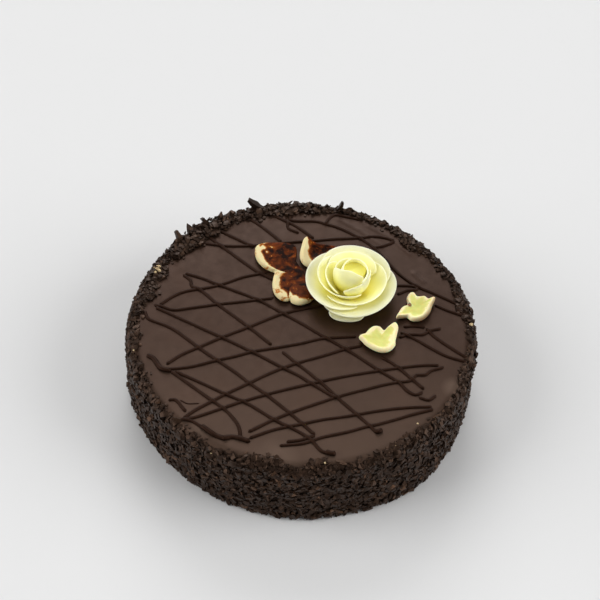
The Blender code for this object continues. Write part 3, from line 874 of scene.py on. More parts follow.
@dataclass(frozen=True)
class PipedLattice:
    """The dark lines piped to and fro across the glaze."""

    ground: GlazedBody
    finish: PipedFinish = PipedFinish("piped_dark_chocolate", roughness=0.55, ior=1.3)
    half_width: float = 1.1 * MM
    half_height: float = 0.85 * MM
    sides: int = 10
    step_mm: float = 1.5
    # Thickness as a share of the usual one, and height of the axis above the glaze.
    usual: tuple[float, float] = (1.0, 0.1 * MM)
    thick: tuple[float, float] = (1.5, 0.1 * MM)
    sunk: tuple[float, float] = (0.5, -0.1 * MM)
    wobble: float = 0.1
    wobble_span: float = 9.0 * MM
    # How far a line's rounded tip stands out, in steps, and how thick it is there.
    tip: tuple[float, float] = (0.6, 0.35)
    crossing_lift: float = 0.7 * MM
    crossing_reach: float = 1.6 * MM

    def route(self, points: Route, earlier: KDTree | None, level: float) -> list[Vector]:
        """Lay a line's axis on the glaze and lift it over the lines laid before it.

        Args:
            points: The line's plan points in millimetres.
            earlier: The axis points of the lines below, or None.
            level: Height of the axis above the glaze.

        Returns:
            The axis points.
        """
        axis = smooth_route(points, self.step_mm)
        for point in axis:
            point.z = self.ground.surface(point.x, point.y) + level
            if earlier is not None:
                _, _, away = earlier.find(Vector((point.x, point.y, 0.0)))
                point.z += self.crossing_lift * math.exp(-(away / self.crossing_reach) ** 2)
        return axis

    def rings(self, axis: Sequence[Vector], scale: float, seed: int) -> list[list[Vector]]:
        """Return the oval rings of one line, rounded off at both ends.

        Args:
            axis: The line's axis points.
            scale: Its thickness as a share of the usual one.
            seed: What makes its swelling differ from its neighbours'.

        Returns:
            A ring of points for each place along the line.
        """
        count = len(axis)
        out, close = self.tip
        stations = [(axis[0] + (axis[0] - axis[1]) * out, close)]
        stations += [(point, 1.0) for point in axis]
        stations.append((axis[-1] + (axis[-1] - axis[-2]) * out, close))
        rings = []
        for index, (middle, close) in enumerate(stations):
            ahead = axis[min(count - 1, max(0, index))] - axis[max(0, min(count - 1, index - 2))]
            side = UP.cross(ahead).normalized()
            swell = noise.noise(Vector((middle.x, middle.y, seed * 0.01)) / self.wobble_span)
            size = scale * close * (1.0 + self.wobble * swell)
            angles = [math.tau * turn / self.sides for turn in range(self.sides)]
            rings.append([middle + side * math.cos(angle) * self.half_width * size
                          + UP * math.sin(angle) * self.half_height * size for angle in angles])
        return rings

    def build(self) -> None:
        """Pipe every line, one after another, and join them into one piece."""
        groups = ((FLAT_STRANDS + STEEP_STRANDS, self.usual), (THICK_STRANDS, self.thick),
                  (SUNK_STRANDS, self.sunk))
        lines = [(points, *size) for strands, size in groups for points in strands]
        whole = bmesh.new()
        laid: list[Vector] = []
        for index, (points, scale, level) in enumerate(lines):
            earlier = None
            if laid:
                earlier = KDTree(len(laid))
                for place, point in enumerate(laid):
                    earlier.insert(Vector((point.x, point.y, 0.0)), place)
                earlier.balance()
            axis = self.route(points, earlier, level)
            strand = to_mesh(grow_rings(self.rings(axis, scale, index)), "strand")
            whole.from_mesh(strand)
            bpy.data.meshes.remove(strand)
            laid += axis
        mesh = to_mesh(whole, "piped_lattice")
        add_piece("piped_lattice", mesh, self.finish.make(), Slot.CHOCOLATE, "cake")


@dataclass(frozen=True)
class ShavingShape:
    """The size of one kind of shaving, and how unevenly it was cut."""

    length: float
    width: float
    thickness: float
    cuts_along: int
    cuts_across: int
    curl: float
    taper: float
    # Factors on each corner's length, width and thickness, and how far it may bow sideways.
    long_cut: Bounds = (0.94, 1.06)
    wide_cut: Bounds = (0.75, 1.15)
    thick_cut: Bounds = (0.75, 1.2)
    bow: float = 0.35

    def template(self, draw: random.Random) -> tuple[np.ndarray, np.ndarray]:
        """Cut one shaving from a block.

        Args:
            draw: The source of its unevenness.

        Returns:
            Its points and its triangles, lying flat along X.
        """
        bm = bmesh.new()
        bmesh.ops.create_cube(bm, size=1.0)
        for axis, cuts in ((0, self.cuts_along), (1, self.cuts_across)):
            if cuts:
                along = [edge for edge in bm.edges
                         if abs(edge.verts[0].co[axis] - edge.verts[1].co[axis]) > 0.9]
                bmesh.ops.subdivide_edges(bm, edges=along, cuts=cuts, use_grid_fill=True)
        bow = draw.uniform(-self.bow, self.bow)
        ends = (1.0 - self.taper * draw.random(), 1.0 - self.taper * draw.random())
        curl = self.curl * draw.uniform(-1.0, 1.0)
        for vert in bm.verts:
            x, y, z = vert.co
            narrow = 1.0 - (1.0 - ends[0 if x < 0 else 1]) * (2 * abs(x)) ** 1.5
            y = y * narrow * draw.uniform(*self.wide_cut) + bow * (x * x - 0.1)
            z = z * narrow * draw.uniform(*self.thick_cut)
            vert.co = Vector((x * self.length * draw.uniform(*self.long_cut), y * self.width,
                              z * self.thickness + curl * (4 * x * x - 0.5)))
        bmesh.ops.triangulate(bm, faces=bm.faces)
        bmesh.ops.recalc_face_normals(bm, faces=bm.faces)
        return to_arrays(bm)


SHAPES = {
    Shaving.SPLINTER: ShavingShape(5.4 * MM, 1.8 * MM, 1.2 * MM, 3, 0, 0.5 * MM, 0.75),
    Shaving.CHIP: ShavingShape(3.8 * MM, 3.0 * MM, 1.1 * MM, 2, 1, 0.5 * MM, 0.6),
    Shaving.LUMP: ShavingShape(5.0 * MM, 3.6 * MM, 2.8 * MM, 2, 2, 0.7 * MM, 0.9),
    Shaving.SHARD: ShavingShape(8.0 * MM, 3.4 * MM, 2.2 * MM, 3, 0, 0.8 * MM, 0.9),
}


@dataclass(frozen=True)
class Lay:
    """Where and how one shaving lies."""

    place: Vector
    normal: Vector
    along: Vector
    scale: float
    tone: float

    def matrix(self) -> Matrix:
        """Return the transform that lays a flat shaving down here."""
        across = self.normal.cross(self.along).normalized()
        along = across.cross(self.normal).normalized()
        turn = Matrix((along, across, self.normal)).transposed().to_4x4()
        return Matrix.Translation(self.place) @ turn @ Matrix.Scale(self.scale, 4)


def scatter(
    name: str,
    templates: Sequence[tuple[np.ndarray, np.ndarray]],
    lays: Sequence[Lay],
    seed: int,
) -> bpy.types.Mesh:
    """Join many small copies of a few shapes into one mesh that keeps inside the cake's box.

    Args:
        name: The mesh's name.
        templates: Points and triangles of each shape.
        lays: Where each copy lies.
        seed: The seed for which copy has which shape.

    Returns:
        The mesh, with each copy's shade in its attribute "tone".
    """
    draw = random.Random(seed)
    low, high = (np.array(corner) for corner in CAD_BOX)
    low[2] += TABLE_GAP
    points, triangles, tones = [], [], []
    start = 0
    for lay in lays:
        shape, faces = templates[draw.randrange(len(templates))]
        matrix = np.array(lay.matrix())
        placed = shape @ matrix[:3, :3].T + matrix[:3, 3]
        placed += np.maximum(low - placed.min(axis=0), 0.0)
        placed -= np.maximum(placed.max(axis=0) - high, 0.0)
        points.append(placed)
        triangles.append(faces + start)
        tones.append(np.full(len(placed), lay.tone))
        start += len(placed)
    mesh = bpy.data.meshes.new(name)
    mesh.from_pydata(np.concatenate(points).tolist(), [], np.concatenate(triangles).tolist())
    tone = mesh.attributes.new("tone", "FLOAT", "POINT")
    tone.data.foreach_set("value", np.concatenate(tones).astype(np.float32))
    mesh.shade_smooth()
    mesh.set_sharp_from_angle(angle=math.radians(FACET_DEG))
    return mesh


@dataclass(frozen=True)
class ShavedCoat:
    """Shaved chocolate pressed on to the side and heaped along the rim."""

    ground: GlazedBody
    finish: ShavingFinish = ShavingFinish("shaved_dark_chocolate", roughness=0.47, ior=1.42)
    # How many splinters, chips and lumps lie on the side and on the rim.
    on_side_counts: tuple[int, int, int] = (4700, 3400, 1000)
    on_rim_counts: tuple[int, int, int] = (1450, 1250, 360)
    strays: int = 90
    shards: int = 30
    variants: int = 14
    tilt_deg: float = 24.0
    pile: float = 1.9 * MM
    # The side's pile as a share of the rim's, its share at the very foot and how soon it is full,
    # the rim's share at the glaze, and between which shares of the pile a shaving may lie.
    side_pile: float = 0.75
    foot_pile: Bounds = (0.7, 14.0 * MM)
    glaze_pile: float = 0.35
    depths: Bounds = (0.1, 1.0)
    widest: float = 14.0 * MM
    least_band: float = 0.3 * MM
    ragged: float = 1.2 * MM
    side_margin: float = 1.0 * MM
    side_lump: float = 0.5 * MM
    stray_lift: float = 0.4 * MM
    # Smallest and largest shaving as a share of its kind's size, and the shape of the beta
    # distribution that its tone is drawn from.
    sizes: Bounds = (0.5, 1.1)
    tones: Bounds = (1.8, 3.2)
    # Painted light and shade added to the tone: what it gains low on the side, painted lighter,
    # where the side meets the shoulder's top, and on the rim, both painted darker as they take more
    # light from above.
    side_painted_light: float = 0.03
    shoulder_painted_shade: float = -0.14
    rim_painted_shade: float = -0.08
    # Where the heap on the rim is higher: angle, height (mm), spread (degrees).
    heaps: tuple[tuple[float, float, float], ...] = (
        (135.0, 3.2, 12.0), (96.0, 1.8, 26.0), (56.0, 1.0, 18.0), (-172.0, 1.4, 12.0))

    def band(self, angle: float) -> float:
        """Return how far in from the side the shavings reach at an angle, in metres."""
        width = float(np.interp(degrees_off(angle, 0.0), *zip(*RIM_REACH))) * MM
        return max(self.least_band, width + self.ragged * noise.noise(heading(angle) * 26.0))

    def heap(self, angle: float) -> float:
        """Return how high the shavings are heaped on the rim.

        Args:
            angle: Where round the cake (radians).

        Returns:
            The height of the heap.
        """
        height = self.pile
        for middle, more, spread in self.heaps:
            height += more * MM * math.exp(-(degrees_off(angle, middle) / spread) ** 2)
        return height * (1.0 + 0.45 * noise.noise((heading(angle) + 9.0 * UP) * 17.0))

    def tilted(self, normal: Vector, draw: random.Random) -> Vector:
        """Lean a direction a random way by a normally spread angle.

        Args:
            normal: The direction.
            draw: The source of its unevenness.

        Returns:
            The leant direction.
        """
        lean = any_way(draw)
        lean -= normal * lean.dot(normal)
        return (normal + lean * math.tan(math.radians(self.tilt_deg)) * 0.7).normalized()

    def lay(self, place: Vector, normal: Vector, draw: random.Random, shade: float) -> Lay:
        """Lay a shaving down with a random heading, lean, size and shade.

        Args:
            place: Its middle.
            normal: The direction that faces out of the surface.
            draw: The source of its unevenness.
            shade: What is added to its tone, the painted light and shade of where it lies.

        Returns:
            The lay.
        """
        leant, along = self.tilted(normal, draw), any_way(draw).normalized()
        tone = min(1.0, max(0.0, draw.betavariate(*self.tones) + shade))
        return Lay(place, leant, along, draw.uniform(*self.sizes), tone)

    def on_side(self, count: int, draw: random.Random) -> Iterator[Lay]:
        """Spread shavings evenly over the side, two or three deep.

        Args:
            count: How many.
            draw: The source of their unevenness.

        Yields:
            How each one lies.
        """
        low, high = self.side_margin, self.ground.top - self.side_margin
        for index in range(count):
            angle = math.tau * (index + draw.random()) * GOLDEN_TURN
            height = low + (high - low) * draw.random()
            outward = heading(angle)
            over = max(0.0, height - (self.ground.top - self.ground.shoulder))
            slope = math.asin(min(1.0, over / self.ground.shoulder))
            normal = outward * math.cos(slope) + UP * math.sin(slope)
            lump = noise.noise(outward * 9.0 + UP * height * 80.0) * self.side_lump
            least, full = self.foot_pile
            depth = self.pile * self.side_pile * min(1.0, least + height / full)
            lift = draw.uniform(*self.depths) * depth + lump + self.ground.bulge(angle, height)
            place = outward * self.ground.reach(height) + UP * height + normal * lift
            # Painted light and shade: the side is lightened low down and darkened towards the
            # shoulder's top.
            share = over / self.ground.shoulder
            shade = self.side_painted_light + (self.shoulder_painted_shade - self.side_painted_light) * share
            yield self.lay(place, normal, draw, shade)

    def on_rim(self, count: int, draw: random.Random) -> Iterator[Lay]:
        """Heap shavings on the shoulder, thinning out towards the glaze.

        Args:
            count: How many.
            draw: The source of their unevenness.

        Yields:
            How each one lies.
        """
        made = 0
        while made < count:
            angle = math.tau * draw.random()
            inward = draw.uniform(-0.5 * MM, self.widest)
            band = self.band(angle)
            if inward > band:
                continue
            made += 1
            radius = self.ground.radius - inward
            x, y = radius * math.cos(angle), radius * math.sin(angle)
            normal = self.ground.normal(x, y)
            share = 1.0 - max(0.0, inward) / band
            heap = self.heap(angle) * (self.glaze_pile + (1.0 - self.glaze_pile) * share)
            place = Vector((x, y, self.ground.surface(x, y)))
            place += normal * draw.uniform(*self.depths) * heap
            # Painted shade: the rim's shavings are darkened.
            yield self.lay(place, normal, draw, self.rim_painted_shade)

    def strayed(self, draw: random.Random) -> Iterator[Lay]:
        """Drop a few small shavings on the glaze just inside the rim.

        Args:
            draw: The source of their unevenness.

        Yields:
            How each one lies.
        """
        for _ in range(self.strays):
            angle = math.tau * draw.random()
            radius = self.ground.radius - self.band(angle) - abs(draw.gauss(0.0, 1.8 * MM))
            x, y = radius * math.cos(angle), radius * math.sin(angle)
            place = Vector((x, y, self.ground.surface(x, y) + self.stray_lift))
            lay = self.lay(place, UP, draw, 0.0)
            yield Lay(lay.place, UP, lay.along, lay.scale * 0.7, lay.tone)

    def standing(self, draw: random.Random) -> Iterator[Lay]:
        """Stand shards up out of the rim: the tallest, then the rest.

        Args:
            draw: The source of their unevenness.

        Yields:
            How each one stands.
        """
        for (x, y, height), way, length in TALL_SHARDS:
            along = Vector(way).normalized()
            normal = along.cross(Vector((x, y, 0.0))).normalized()
            place = Vector((x * MM, y * MM, self.ground.top + height * MM))
            yield Lay(place, normal, along, length * MM / SHAPES[Shaving.SHARD].length, 0.25)
        for index in range(self.shards):
            angle = math.tau * (index + draw.uniform(-0.4, 0.4)) / self.shards
            radius = self.ground.radius - draw.uniform(0.0, 3.0) * MM
            x, y = radius * math.cos(angle), radius * math.sin(angle)
            outward = heading(angle)
            sideways = Vector((-outward.y, outward.x, 0.0)) * draw.uniform(-1.0, 1.0)
            along = (outward * 0.55 + sideways + UP * draw.uniform(0.1, 0.6)).normalized()
            place = Vector((x, y, self.ground.surface(x, y) + 1.0 * MM))
            normal = along.cross(Vector((draw.gauss(0, 1), draw.gauss(0, 1), 0.1))).normalized()
            yield Lay(place, normal, along, draw.uniform(0.55, 0.9), draw.uniform(0.2, 0.8))

    def build(self) -> None:
        """Make each kind of shaving as one piece."""
        material = self.finish.make()
        draw = random.Random(7)
        shapes = {kind: [shape.template(draw) for _ in range(self.variants)]
                  for kind, shape in SHAPES.items()}
        kinds = (Shaving.SPLINTER, Shaving.CHIP, Shaving.LUMP)
        heaps = [(f"side_{kind.value}s", kind, list(self.on_side(count, draw)))
                 for kind, count in zip(kinds, self.on_side_counts)]
        for kind, count in zip(kinds, self.on_rim_counts):
            lays = list(self.on_rim(count, draw))
            if kind is Shaving.CHIP:
                lays += self.strayed(draw)
            heaps.append((f"rim_{kind.value}s", kind, lays))
        heaps.append(("rim_shards", Shaving.SHARD, list(self.standing(draw))))
        for seed, (name, kind, lays) in enumerate(heaps):
            mesh = scatter(name, shapes[kind], lays, seed)
            add_piece(name, mesh, material, Slot.CHOCOLATE, "cake")


@dataclass(frozen=True)
class Crumbs:
    """Pale specks and bits of sponge caught among the shavings."""

    ground: GlazedBody
    finish: CrumbFinish = CrumbFinish("sponge_crumb", roughness=0.85)
    size: float = 2.2 * MM
    specks: Route = ((-102.5, -26.5), (-103, -56), (-54, -106), (58, -88), (71, -72), (17, -103))
    clusters: Route = ((-95.5, 40.5), (107, 8.5))
    in_cluster: int = 9
    cluster_mm: PlanPoint = (1.3, 1.9)
    overhang: float = 1.0 * MM
    lift: float = 2.2 * MM
    variants: int = 6

    def template(self, draw: random.Random) -> tuple[np.ndarray, np.ndarray]:
        """Shape one lumpy crumb.

        Args:
            draw: The source of its unevenness.

        Returns:
            Its points and its triangles.
        """
        bm = bmesh.new()
        bmesh.ops.create_icosphere(bm, subdivisions=2, radius=0.5)
        offset = Vector((draw.random(), draw.random(), draw.random())) * 9.0
        for vert in bm.verts:
            vert.co *= self.size * (1.0 + 0.45 * noise.noise(vert.co * 3.0 + offset))
        return to_arrays(bm)

    def build(self) -> None:
        """Scatter the crumbs and join them into one piece."""
        draw = random.Random(19)
        templates = [self.template(draw) for _ in range(self.variants)]
        places = [(Vector((x, y)) * MM, 0.55) for x, y in self.specks]
        for x, y in self.clusters:
            for _ in range(self.in_cluster):
                offset = Vector([draw.gauss(0, spread) for spread in self.cluster_mm])
                places.append(((Vector((x, y)) + offset) * MM, draw.uniform(0.5, 1.1)))
        lays = []
        for point, scale in places:
            inside = min(point.length, self.ground.radius + self.overhang)
            point = point.normalized() * inside
            seat = self.ground.surface(*(point.normalized() * min(inside, self.ground.radius)))
            along = Vector((draw.gauss(0, 1), draw.gauss(0, 1), 0.1))
            lays.append(Lay(Vector((*point, seat + self.lift)), UP, along, scale, 0.5))
        mesh = scatter("sponge_crumbs", templates, lays, 3)
        add_piece("sponge_crumbs", mesh, self.finish.make(), Slot.CHOCOLATE, "cake")


@dataclass(frozen=True)
class Petal:
    """One petal: where it faces, how wide and high its rim is, and how it bends.

    Angles are in degrees and lengths in millimetres. The lap is what one side gains in radius over
    the other, the lean runs from 0 upright to 1 spread, the tilt is what one side gains in height,
    the belly is the swell at half height and the flare is what both sides gain in radius.
    """

    azimuth: float
    half_width: float
    rim_radius: float
    rim_height: float
    lap: float = 0.0
    lean: float = 1.0
    tilt: float = 0.0
    belly: float = 0.0
    flare: float = 0.0
    corner: float = 0.3
    # Radius of its foot when upright and when spread, and the height of its foot.
    foot: tuple[float, float] = (3.0, 6.5)
    foot_height: float = 1.0
    # How far a spread rim curls down, and how high it waves.
    curl: float = 1.2
    wave: float = 0.5
    # Thickness of its wall at its foot and at its rim.
    wall: tuple[float, float] = (1.7, 0.6)
    columns: int = 36
    rows: int = 18

    def point(self, u: float, v: float) -> Vector:
        """Return a point of the petal's middle sheet.

        Args:
            u: Place across the petal, from -1 to 1.
            v: Place from its foot, 0, to its rim, 1.

        Returns:
            The point, from the rose's foot.
        """
        reach = v * (1.0 - self.corner * u ** 4)
        spread = self.half_width * u * (0.6 + 0.4 * math.sin(0.5 * math.pi * v))
        angle = math.radians(self.azimuth + spread)
        foot = self.foot[0] + (self.foot[1] - self.foot[0]) * self.lean
        upright = math.sin(0.5 * math.pi * reach) ** 0.8
        radius = foot + (self.rim_radius - foot) * (self.lean * reach + (1.0 - self.lean) * upright)
        radius += (self.lap * u + self.flare * u * u) * reach
        radius += self.belly * math.sin(math.pi * reach)
        cup = reach ** (1.0 + 0.6 * self.lean) + 0.14 * self.lean * math.sin(math.pi * reach)
        height = self.foot_height + (self.rim_height - self.foot_height) * cup
        height += self.tilt * u * reach ** 2 - self.curl * self.lean * reach ** 8
        waved = math.sin(3.0 * u + math.radians(self.azimuth)) * reach ** 3
        height += self.wave * self.lean * waved
        return Vector((radius * math.cos(angle), radius * math.sin(angle), height)) * MM

    def mesh(self, name: str, base: Vector) -> bpy.types.Mesh:
        """Bend a grid into the petal and give it a wall that thins towards its rim.

        Args:
            name: The mesh's name.
            base: The middle of the rose's foot.

        Returns:
            The petal's closed mesh.
        """
        bm = bmesh.new()
        share = bm.verts.layers.float.new("rimshare")
        wall = bm.verts.layers.float.new("wall")
        bmesh.ops.create_grid(bm, x_segments=self.columns, y_segments=self.rows, size=1.0)
        thick, thin = self.wall
        for vert in bm.verts:
            u, v = vert.co.x, 0.5 + 0.5 * vert.co.y
            vert[share] = v
            vert[wall] = (thick - (thick - thin) * max(v, abs(u) ** 6)) * MM
            vert.co = self.point(u, v) + base
        bmesh.ops.recalc_face_normals(bm, faces=bm.faces)
        bm.normal_update()
        front = list(bm.verts)
        normals = {vert: vert.normal.copy() for vert in front}
        copied = bmesh.ops.duplicate(bm, geom=[*bm.verts, *bm.edges, *bm.faces])
        for vert in front:
            half = normals[vert] * vert[wall] * 0.5
            copied["vert_map"][vert].co = vert.co - half
            vert.co = vert.co + half
        back = [part for part in copied["geom"] if isinstance(part, bmesh.types.BMFace)]
        bmesh.ops.reverse_faces(bm, faces=back)
        bmesh.ops.bridge_loops(bm, edges=[edge for edge in bm.edges if edge.is_boundary])
        bmesh.ops.recalc_face_normals(bm, faces=bm.faces)
        return to_mesh(bm, name, crease_deg=180.0)


@dataclass(frozen=True)
class Rose:
    """A moulded rose: petals wrapped round a bud, growing flatter outwards."""

    base: Vector
    finish: IcingFinish = IcingFinish("tinted_white_chocolate_paste", roughness=0.5)
    foot: tuple[float, float, float] = (11.5 * MM, 5.2 * MM, 6.0 * MM)
    heart: tuple[float, float, float] = (6.0 * MM, 7.6 * MM, 19.4 * MM)
    heart_lean: PlanPoint = (1.5 * MM, 1.9 * MM)
    edge_round: float = 0.8 * MM
    petals: tuple[Petal, ...] = (
        Petal(74, 70, 29.8, 12.4, lap=0.6),
        Petal(194, 90, 28.2, 10.8, lap=-4.0, tilt=0.4, corner=0.22),
        Petal(308, 82, 27.8, 9.0, lap=2.0, tilt=1.8, flare=2.0, corner=0.16),
        Petal(88, 62, 21.0, 16.0, lean=0.6),
        Petal(316, 96, 21.6, 12.8, lap=1.8, lean=0.7, tilt=1.0, flare=2.0, corner=0.2),
        Petal(210, 92, 19.6, 15.4, lap=-5.4, lean=0.55, tilt=-1.4, corner=0.24),
        Petal(180, 56, 16.4, 18.2, lean=0.35, belly=0.5),
        Petal(315, 66, 11.4, 19.6, lap=-0.6, lean=0.15, tilt=2.4, belly=1.6, flare=1.0, corner=0.2),
        Petal(130, 58, 10.6, 21.0, lean=0.2, belly=0.8, corner=0.2),
        Petal(66, 122, 7.6, 23.85, lap=-3.6, lean=0.1, belly=2.4, corner=0.12),
        Petal(247, 76, 3.4, 23.8, lap=-0.9, lean=0.1, tilt=0.2, belly=4.6, flare=5.6, corner=0.12),
        Petal(266, 30, 26.2, 2.6, lap=-0.8, flare=2.2, corner=0.25),
    )

    def cone(self, name: str, size: tuple[float, float, float], aside: PlanPoint) -> bpy.types.Mesh:
        """Return one of the rose's two cones, with softened edges.

        Args:
            name: The mesh's name.
            size: Radius at its base, radius at its top, and height.
            aside: How far it stands from the rose's middle.

        Returns:
            The cone's closed mesh, on the glaze under the rose.
        """
        base, top, height = size
        bm = bmesh.new()
        bmesh.ops.create_cone(bm, cap_ends=True, segments=48, radius1=base, radius2=top,
                              depth=height)
        bmesh.ops.translate(bm, vec=self.base + Vector((*aside, height / 2)), verts=bm.verts)
        rims = [edge for edge in bm.edges if edge.calc_face_angle(0.0) > 0.6]
        bmesh.ops.bevel(bm, geom=rims, offset=self.edge_round, segments=3, profile=0.5,
                        material=-1, affect="EDGES")
        return to_mesh(bm, name)

    def build(self) -> None:
        """Make the foot, the heart of the bud and every petal."""
        material = self.finish.make()
        for name, size, aside in (("rose_foot", self.foot, (0.0, 0.0)),
                                  ("rose_heart", self.heart, self.heart_lean)):
            add_piece(name, self.cone(name, size, aside), material, Slot.ICING, "rose")
        for index, petal in enumerate(self.petals):
            name = f"petal_{index:02d}"
            piece = add_piece(name, petal.mesh(name, self.base), material, Slot.ICING, "rose")
            smooth = piece.modifiers.new("smooth", "SUBSURF")
            smooth.levels = smooth.render_levels = 1


@dataclass(frozen=True)
class Leaf:
    """A cast leaf: a thick soft-edged blade, its edge lifted and its upper face filmed over.

    The margin is how far the film keeps in from the edge: its mean, and what it gains where the
    edge faces right and where it faces the back. Worn spots are a plan place and a radius each.
    """

    name: str
    outline: Sequence[tuple[float, float, float]]
    centre: PlanPoint
    thickness_mm: float
    edge_mm: float = 2.7
    ripple_mm: float = 0.5
    ripple_span_mm: float = 4.5
    margin_mm: tuple[float, float, float] = (0.6, -4.2, -3.2)
    soft_mm: float = 5.0
    thickest: float = 0.72
    stain_mm: float = 2.6
    worn: Sequence[tuple[float, float, float]] = ()
    stain_side: PlanPoint = (0.0, 0.0)
    between: int = 5

    def edge(self) -> list[Vector]:
        """Return the outline as a smooth closed loop whose z is how far the edge lifts (mm)."""
        knots = [Vector(point) for point in self.outline]
        fours = zip(knots[-1:] + knots[:-1], knots, knots[1:] + knots[:1], knots[2:] + knots[:2])
        return [curve_point(four, step / self.between)
                for four in fours for step in range(self.between)]

    def top_height(self, x: float, y: float, lift: float, share: float) -> float:
        """Return the height of the upper face (mm).

        Args:
            x: Plan place (mm).
            y: Plan place (mm).
            lift: How far the edge lifts there (mm).
            share: Place from the middle, 0, to the edge, 1.

        Returns:
            The height above the leaf's seat (mm).
        """
        ripple = noise.noise(Vector((x, y, 4.0)) / self.ripple_span_mm)
        return self.thickness_mm + lift * share ** 1.5 + self.ripple_mm * ripple * (1.2 - share)

    def spokes(self) -> list[tuple[Vector, Vector, float]]:
        """Return each edge point, the direction that it faces and the length of its spoke."""
        loop = self.edge()
        spokes = []
        for index, point in enumerate(loop):
            along = (loop[(index + 1) % len(loop)] - loop[index - 1]).xy.normalized()
            length = (point.xy - Vector(self.centre)).length
            spokes.append((point, Vector((along.y, -along.x)), length))
        return spokes

    def film(self, place: Vector, facing: Vector, depth: float) -> float:
        """Return how thick the film is at a point of the upper face; on the bare leaves it sets the
        painted shade towards the middle.

        Args:
            place: The plan place (mm).
            facing: The direction that the nearest edge faces.
            depth: How far in from the edge the point lies (mm).

        Returns:
            Its share of a full pool, from 0.
        """
        mean, right, back = self.margin_mm
        margin = mean + right * facing.x + back * facing.y
        thick = max(0.0, min(self.thickest, (depth - margin) / self.soft_mm))
        for x, y, radius in self.worn:
            away = (place - Vector((x, y))).length / radius
            thick -= math.exp(-away * away)
        return max(0.0, thick)

    def ring(self, inset_mm: float, share: float, rise: float) -> tuple[list[Vector], list[float]]:
        """Return one ring of the leaf.

        Args:
            inset_mm: How far in from the edge it runs.
            share: How far it is then drawn towards the middle, 1 being not at all.
            rise: Its height, from 0 on the underside to 1 on the upper face.

        Returns:
            Its points (mm), and the film on each: less than 0 is a stain on the wall.
        """
        middle = Vector(self.centre)
        stain = Vector(self.stain_side)
        points, marks = [], []
        for point, facing, length in self.spokes():
            inner = max(0.2, 1.0 - inset_mm / length)
            place = middle + (point.xy - middle) * inner * share
            low = 0.45 * point.z * share ** 3
            high = self.top_height(*place, point.z, share)
            points.append(Vector((*place, low + (high - low) * rise)))
            depth = length * (1.0 - inner * share)
            mark = self.film(place, facing, depth)
            if mark < 0.2:
                mark -= max(0.0, facing.dot(stain)) * max(0.0, 1.0 - depth / self.stain_mm)
            marks.append(mark)
        return points, marks

    def mesh(self, seat: float) -> bpy.types.Mesh:
        """Grow the leaf from under its middle, round its edge and over its upper face.

        Args:
            seat: The height that it stands at.

        Returns:
            The leaf's closed mesh.
        """
        # Out along the underside, up round the edge, and in over the upper face.
        stations = [(0.8, share, 0.0) for share in (0.3, 0.6, 0.85, 1.0)]
        stations.append((0.2, 1.0, 0.12))
        for step in range(7):
            angle = math.radians(90 * step / 6)
            inset_mm = self.edge_mm * (1 - math.cos(angle))
            stations.append((inset_mm, 1.0, 0.3 + 0.7 * math.sin(angle)))
        stations += [(self.edge_mm, share, 1.0)
                     for share in (0.95, 0.9, 0.84, 0.77, 0.7, 0.62, 0.53, 0.43, 0.32, 0.2, 0.1)]
        grown = [self.ring(*station) for station in stations]
        placed = [[point * MM + UP * seat for point in points] for points, _ in grown]
        return to_mesh(grow_rings(placed, [marks for _, marks in grown]), self.name)


LEAF_LEFT = (
    (-32.5, 63.5, 2.6), (-33.2, 57.5, 2.4), (-31.2, 51.5, 2.0), (-27.0, 46.5, 1.6),
    (-22.2, 44.0, 1.2), (-19.6, 42.6, 0.8), (-20.2, 37.5, 1.4), (-20.4, 30.5, 1.8),
    (-18.8, 24.0, 2.0), (-15.0, 19.5, 2.0), (-11.0, 18.6, 1.4), (-8.8, 19.8, 0.8),
    (-7.0, 17.2, 1.6), (-3.0, 15.8, 2.0), (1.0, 17.0, 1.8), (5.0, 20.0, 1.0),
    (7.5, 26.0, 0.6), (8.0, 34.0, 0.4), (4.0, 41.0, 0.4), (-2.0, 47.0, 0.4),
    (-6.2, 54.0, 0.6), (-6.0, 62.0, 0.8), (-8.0, 67.0, 1.2), (-14.0, 68.2, 1.6),
    (-21.0, 67.8, 1.8), (-27.5, 66.6, 2.2),
)
LEAF_TOP = (
    (-2.0, 70.5, 5.0), (-3.2, 65.0, 4.6), (-4.0, 59.0, 3.8), (-3.4, 54.0, 2.8),
    (-0.6, 50.0, 1.8), (4.0, 49.0, 1.2), (10.0, 52.0, 0.8), (16.0, 56.0, 0.8),
    (22.0, 61.5, 1.2), (20.5, 66.5, 1.8), (15.0, 68.0, 2.0), (9.0, 69.0, 2.0),
    (4.5, 70.2, 2.6), (0.5, 72.8, 4.2),
)
LEAF_BACK = (
    (65.2, 19.8, 1.6), (62.0, 17.4, 2.0), (60.0, 13.0, 2.4), (58.6, 9.0, 2.8),
    (62.5, 9.6, 2.0), (65.6, 10.4, 1.2), (68.0, 8.0, 1.8), (71.5, 7.4, 2.2),
    (76.0, 9.4, 2.6), (79.6, 14.0, 3.0), (81.4, 20.0, 3.2), (83.4, 26.2, 3.6),
    (79.6, 25.6, 2.4), (76.8, 27.8, 2.4), (73.6, 28.0, 1.6), (71.6, 28.4, 1.4),
    (69.6, 30.4, 2.4), (67.0, 29.4, 2.6), (65.2, 25.6, 2.2), (65.8, 22.4, 1.6),
)
LEAF_FRONT = (
    (35.4, -8.6, 3.2), (37.4, -11.6, 2.8), (40.0, -14.6, 2.6), (45.0, -18.0, 2.6),
    (50.0, -19.4, 2.6), (54.6, -17.8, 2.4), (57.8, -13.6, 2.2), (58.2, -9.0, 1.8),
    (59.2, -3.6, 2.2), (59.8, 1.2, 2.8), (58.0, 3.8, 3.2), (54.6, 1.8, 2.2),
    (51.2, -1.4, 1.2), (48.2, 0.8, 2.0), (44.4, 0.6, 2.4), (41.4, -2.0, 2.4),
    (39.0, -5.6, 2.2),
)


